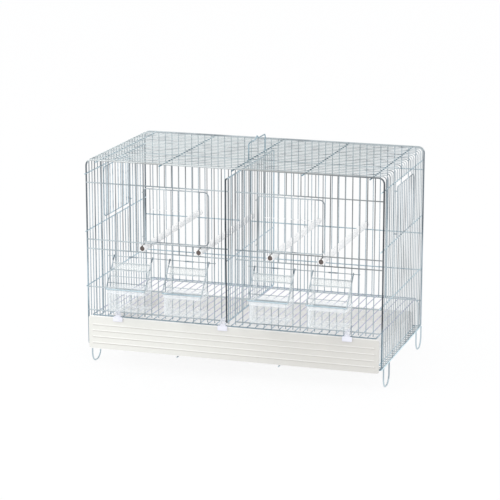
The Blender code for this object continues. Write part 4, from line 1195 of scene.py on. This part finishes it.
def cup_ring(x, half, front, back, height, corner):
    """A level ring with round front corners and nearly square back ones."""
    left, right = x - half, x + half
    small = BACK_CORNER
    corners = ((right - small, back - small, 0, small), (left + small, back - small, 90, small),
               (left + corner, front + corner, 180, corner), (right - corner, front + corner, 270, corner))
    return arcs(corners, height, CUP_STEPS)


def cup_highlight(index):
    """How much painted highlight a vertex of the cup gets as an edge, by its ring and its place on it."""
    level, turn = divmod(index, CUP_POINTS)
    return max(CUP_PROFILE[level][-1], CUP_CORNERS.get(turn, 0.0))


for where, x in FEEDERS:
    rings = [cup_ring(x, half, front, CUP_BACKS[inner], height, corner)
             for half, front, height, corner, inner, _ in CUP_PROFILE]
    cup = mark_highlights(from_rings(rings), cup_highlight)
    tab = box_mesh((x - 0.026, x + 0.026), (-0.0035, 0.0023), (0.1109, 0.1127))
    name = f"feeder_cup_{where}"
    piece(f"{name}_bowl", [cup, tab], CLEAR, name, [name])

# %% Hoods
# The cheeks get one painted highlight all over
CHEEK_FACES, CHEEK_HIGHLIGHT = (0.0335, 0.0321), 0.24
HOOD_LOW, HOOD_HIGH, HOOD_REACH = 0.1184, 0.1628, 0.0312
CHEEK = ((-0.0024, HOOD_LOW), (-HOOD_REACH, HOOD_LOW), (-HOOD_REACH, HOOD_LOW + 0.003),
         (-0.0070, HOOD_HIGH - 0.001), (-0.0050, HOOD_HIGH), (-0.0024, HOOD_HIGH))
BAND_HALF = 0.0325
BAND_FACES = (((-0.0062, 0.1602), (-0.0148, 0.1460)), ((-0.0074, 0.1609), (-0.0160, 0.1467)))
BAND_RIB = ((-0.0082, 0.1586), (-0.0140, 0.1490))

for where, x in FEEDERS:
    name = f"feeder_hood_{where}"
    parts = []
    for hand in (-1, 1):
        rings = [[at(x + hand * half, *point) for point in CHEEK] for half in CHEEK_FACES]
        cheek = shaped(from_rings(rings), bevel=0.0003)
        parts.append(mark_highlights(cheek, lambda index: CHEEK_HIGHLIGHT))
    left, right = x - BAND_HALF, x + BAND_HALF
    parts.append(box_mesh((left, right), (-0.0042, -0.0027), (HOOD_LOW + 0.0002, HOOD_LOW + 0.0016)))
    piece(f"{name}_cheeks", parts, CLEAR, "cage", [name])
    rings = [[at(left, *top), at(right, *top), at(right, *low), at(left, *low)] for top, low in BAND_FACES]
    first = [(x - 0.030, *point) for point in BAND_RIB]
    ribs = drawn([first], 0.0011, 21, (0.003, 0, 0), sides=6)
    piece(f"{name}_band", [from_rings(rings), ribs], MILKY, "cage")

# %% [markdown]
# ## Flaps and their rods
#
# A barred flap leans from its rod on to the rim of each cup. Its two side wires
# hook over the rod, and a short sleeve at the middle keeps it in place. The last
# and thickest of its five bars is its rim.

# %% Rods
ROD_PLANE, ROD_LEVEL = -0.00195, 0.170
SLEEVE_HALF = 0.008
HOOK_ZINC = zinc("zinc_hook", ((0.34, 0.40, 0.44), (0.10, 0.125, 0.15)), 0.50, seed=13.0)


def on_rod(start, end):
    """A straight path along the rod."""
    return [(start, ROD_PLANE, ROD_LEVEL), (end, ROD_PLANE, ROD_LEVEL)]


for side, word in SIDES:
    rod = drawn([on_rod(side * 0.030, side * 0.235)], 0.0014)
    piece(f"flap_rod_{word}_bar", [rod], CROSS_ZINC, "cage", [f"flap_rod_{word}"])
    middles = [side * offset for offset in FEEDER_PLACES.values()]
    sleeves = drawn([on_rod(x - SLEEVE_HALF, x + SLEEVE_HALF) for x in middles], 0.0024)
    piece(f"flap_rod_{word}_sleeves", [sleeves], HOOK_ZINC, "cage")

# %% Flaps
FLAP_ANGLE = math.radians(40)
FLAP_LENGTH, FLAP_HALF = 0.0665, 0.0367
FLAP_BARS, FLAP_FIRST = 5, 0.0133
FLAP_GAP = (FLAP_LENGTH - FLAP_FIRST) / (FLAP_BARS - 1)
HOOK_RADIUS = 0.0021


def on_flap(x, along, off=0.0):
    """A point on the flap, this far down from the rod and this far above its plane."""
    depth = ROD_PLANE - along * math.sin(FLAP_ANGLE) - off * math.cos(FLAP_ANGLE)
    return (x, depth, ROD_LEVEL - along * math.cos(FLAP_ANGLE) + off * math.sin(FLAP_ANGLE))


step = at(*on_flap(0.0, FLAP_GAP)) - at(*on_flap(0.0, 0.0))
for where, x in FEEDERS:
    name = f"feeder_flap_{where}"
    left, right = x - FLAP_HALF, x + FLAP_HALF
    edges = [[on_flap(edge, 0.0022), on_flap(edge, FLAP_LENGTH + 0.0006)] for edge in (left, right)]
    bar = [on_flap(left - 0.0006, FLAP_FIRST), on_flap(right + 0.0006, FLAP_FIRST)]
    bars = drawn([bar], 0.0014, FLAP_BARS - 1, step, sides=8)
    piece(f"{name}_bars", [drawn(edges, 0.0021), bars], CROSS_ZINC, name, [name])
    hooks = [ring((edge, ROD_PLANE, ROD_LEVEL), HOOK_RADIUS, FACING_SIDE) for edge in (left, right)]
    tails = [[on_flap(edge, 0.0005, 0.0018), on_flap(edge, 0.0080, 0.0012)] for edge in (left, right)]
    hooked = [drawn(hooks, 0.0014, closed=True), drawn(tails, 0.0019)]
    piece(f"{name}_hooks", hooked, HOOK_ZINC, name)
    rim = drawn([[on_flap(left, FLAP_LENGTH), on_flap(right, FLAP_LENGTH)]], 0.0024)
    piece(f"{name}_rim", [rim], RIM_ZINC, name)

# %% [markdown]
# ## The floor, the light and the camera
#
# The cage stands on a plain white studio floor. Camera rays see mostly a plain
# white, so the picture has its white background, and a share of the lit floor is
# kept so that the shadow under the cage stays. A large soft lamp on the left is
# the key, a weaker one on the right softens its shadows, and an even world fills
# the rest.

# %% Floor
def light_and_show(graph, kind, lighting, shown, share=1.0):
    """Ends a tree in what gives light and, for rays that look at it, a share of what is shown."""
    rays = graph.tree.nodes.new("ShaderNodeLightPath")
    looks = [Flow(graph, rays.outputs[f"Is {ray} Ray"]) for ray in ("Camera", "Glossy", "Transmission")]
    both = graph.node("ShaderNodeMixShader", values={0: sum(looks) * share, 1: lighting, 2: shown})
    graph.end(kind, "Surface", both)


FLOOR_HALF = 30
corners = [(x * FLOOR_HALF, y * FLOOR_HALF, 0) for x, y in ((-1, -1), (1, -1), (1, 1), (-1, 1))]
floor_mesh = bpy.data.meshes.new("studio_floor")
floor_mesh.from_pydata(corners, [], [(0, 1, 2, 3)])
floor = placed("studio_floor", floor_mesh)
floor_surface = bpy.data.materials.new("studio_white")
graph = Graph(bare_tree(floor_surface))
matt = graph.node("ShaderNodeBsdfDiffuse", values={"Color": (0.92, 0.92, 0.93, 1.0)})
glow = graph.node("ShaderNodeEmission", values={"Color": (1.0, 1.0, 1.0, 1.0), "Strength": 1.0})
light_and_show(graph, "ShaderNodeOutputMaterial", matt, glow, 0.92)
floor_mesh.materials.append(floor_surface)
print("floor staged")

# %% World
world = bpy.data.worlds.new("studio_world")
bpy.context.scene.world = world
graph = Graph(bare_tree(world))
lit = graph.node("ShaderNodeBackground", values={"Color": (0.97, 0.98, 1.0, 1.0), "Strength": 1.04})
shown = graph.node("ShaderNodeBackground", values={"Color": (1.0, 1.0, 1.0, 1.0), "Strength": 1.0})
light_and_show(graph, "ShaderNodeOutputWorld", lit, shown)
print("world:", world.name)

# %% Lamps
LAMP_TARGET = (0, 0, 0.2)


def lamp(name, spot, size, power, colour):
    """A soft square lamp that looks at the cage."""
    light = bpy.data.lights.new(name, "AREA")
    light.size = size
    light.energy = power
    light.color = colour
    made = placed(name, light)
    made.location = spot
    made.rotation_euler = (Vector(LAMP_TARGET) - Vector(spot)).to_track_quat("-Z", "Y").to_euler()


lamp("key_lamp", (-2.2, -2.2, 2.6), 1.6, 30.0, (1.0, 0.99, 0.97))
lamp("fill_lamp", (2.4, -1.8, 1.8), 1.8, 8.0, (0.97, 0.98, 1.0))
print("two lamps and an even world")

# %% Camera, where the photograph was taken from
LOOK_DOWN, LOOK_LEFT = 13.588, 17.691
lens = bpy.data.cameras.new("studio_camera")
lens.lens = 149.9
lens.sensor_width = 36.0
camera = placed("studio_camera", lens)
camera.location = (1.1172, -3.5260, 1.1013)
camera.rotation_euler = (math.radians(90 - LOOK_DOWN), 0.0, math.radians(LOOK_LEFT))
bpy.context.scene.camera = camera
bpy.context.scene.view_settings.view_transform = "Standard"
print("camera at", tuple(camera.location))
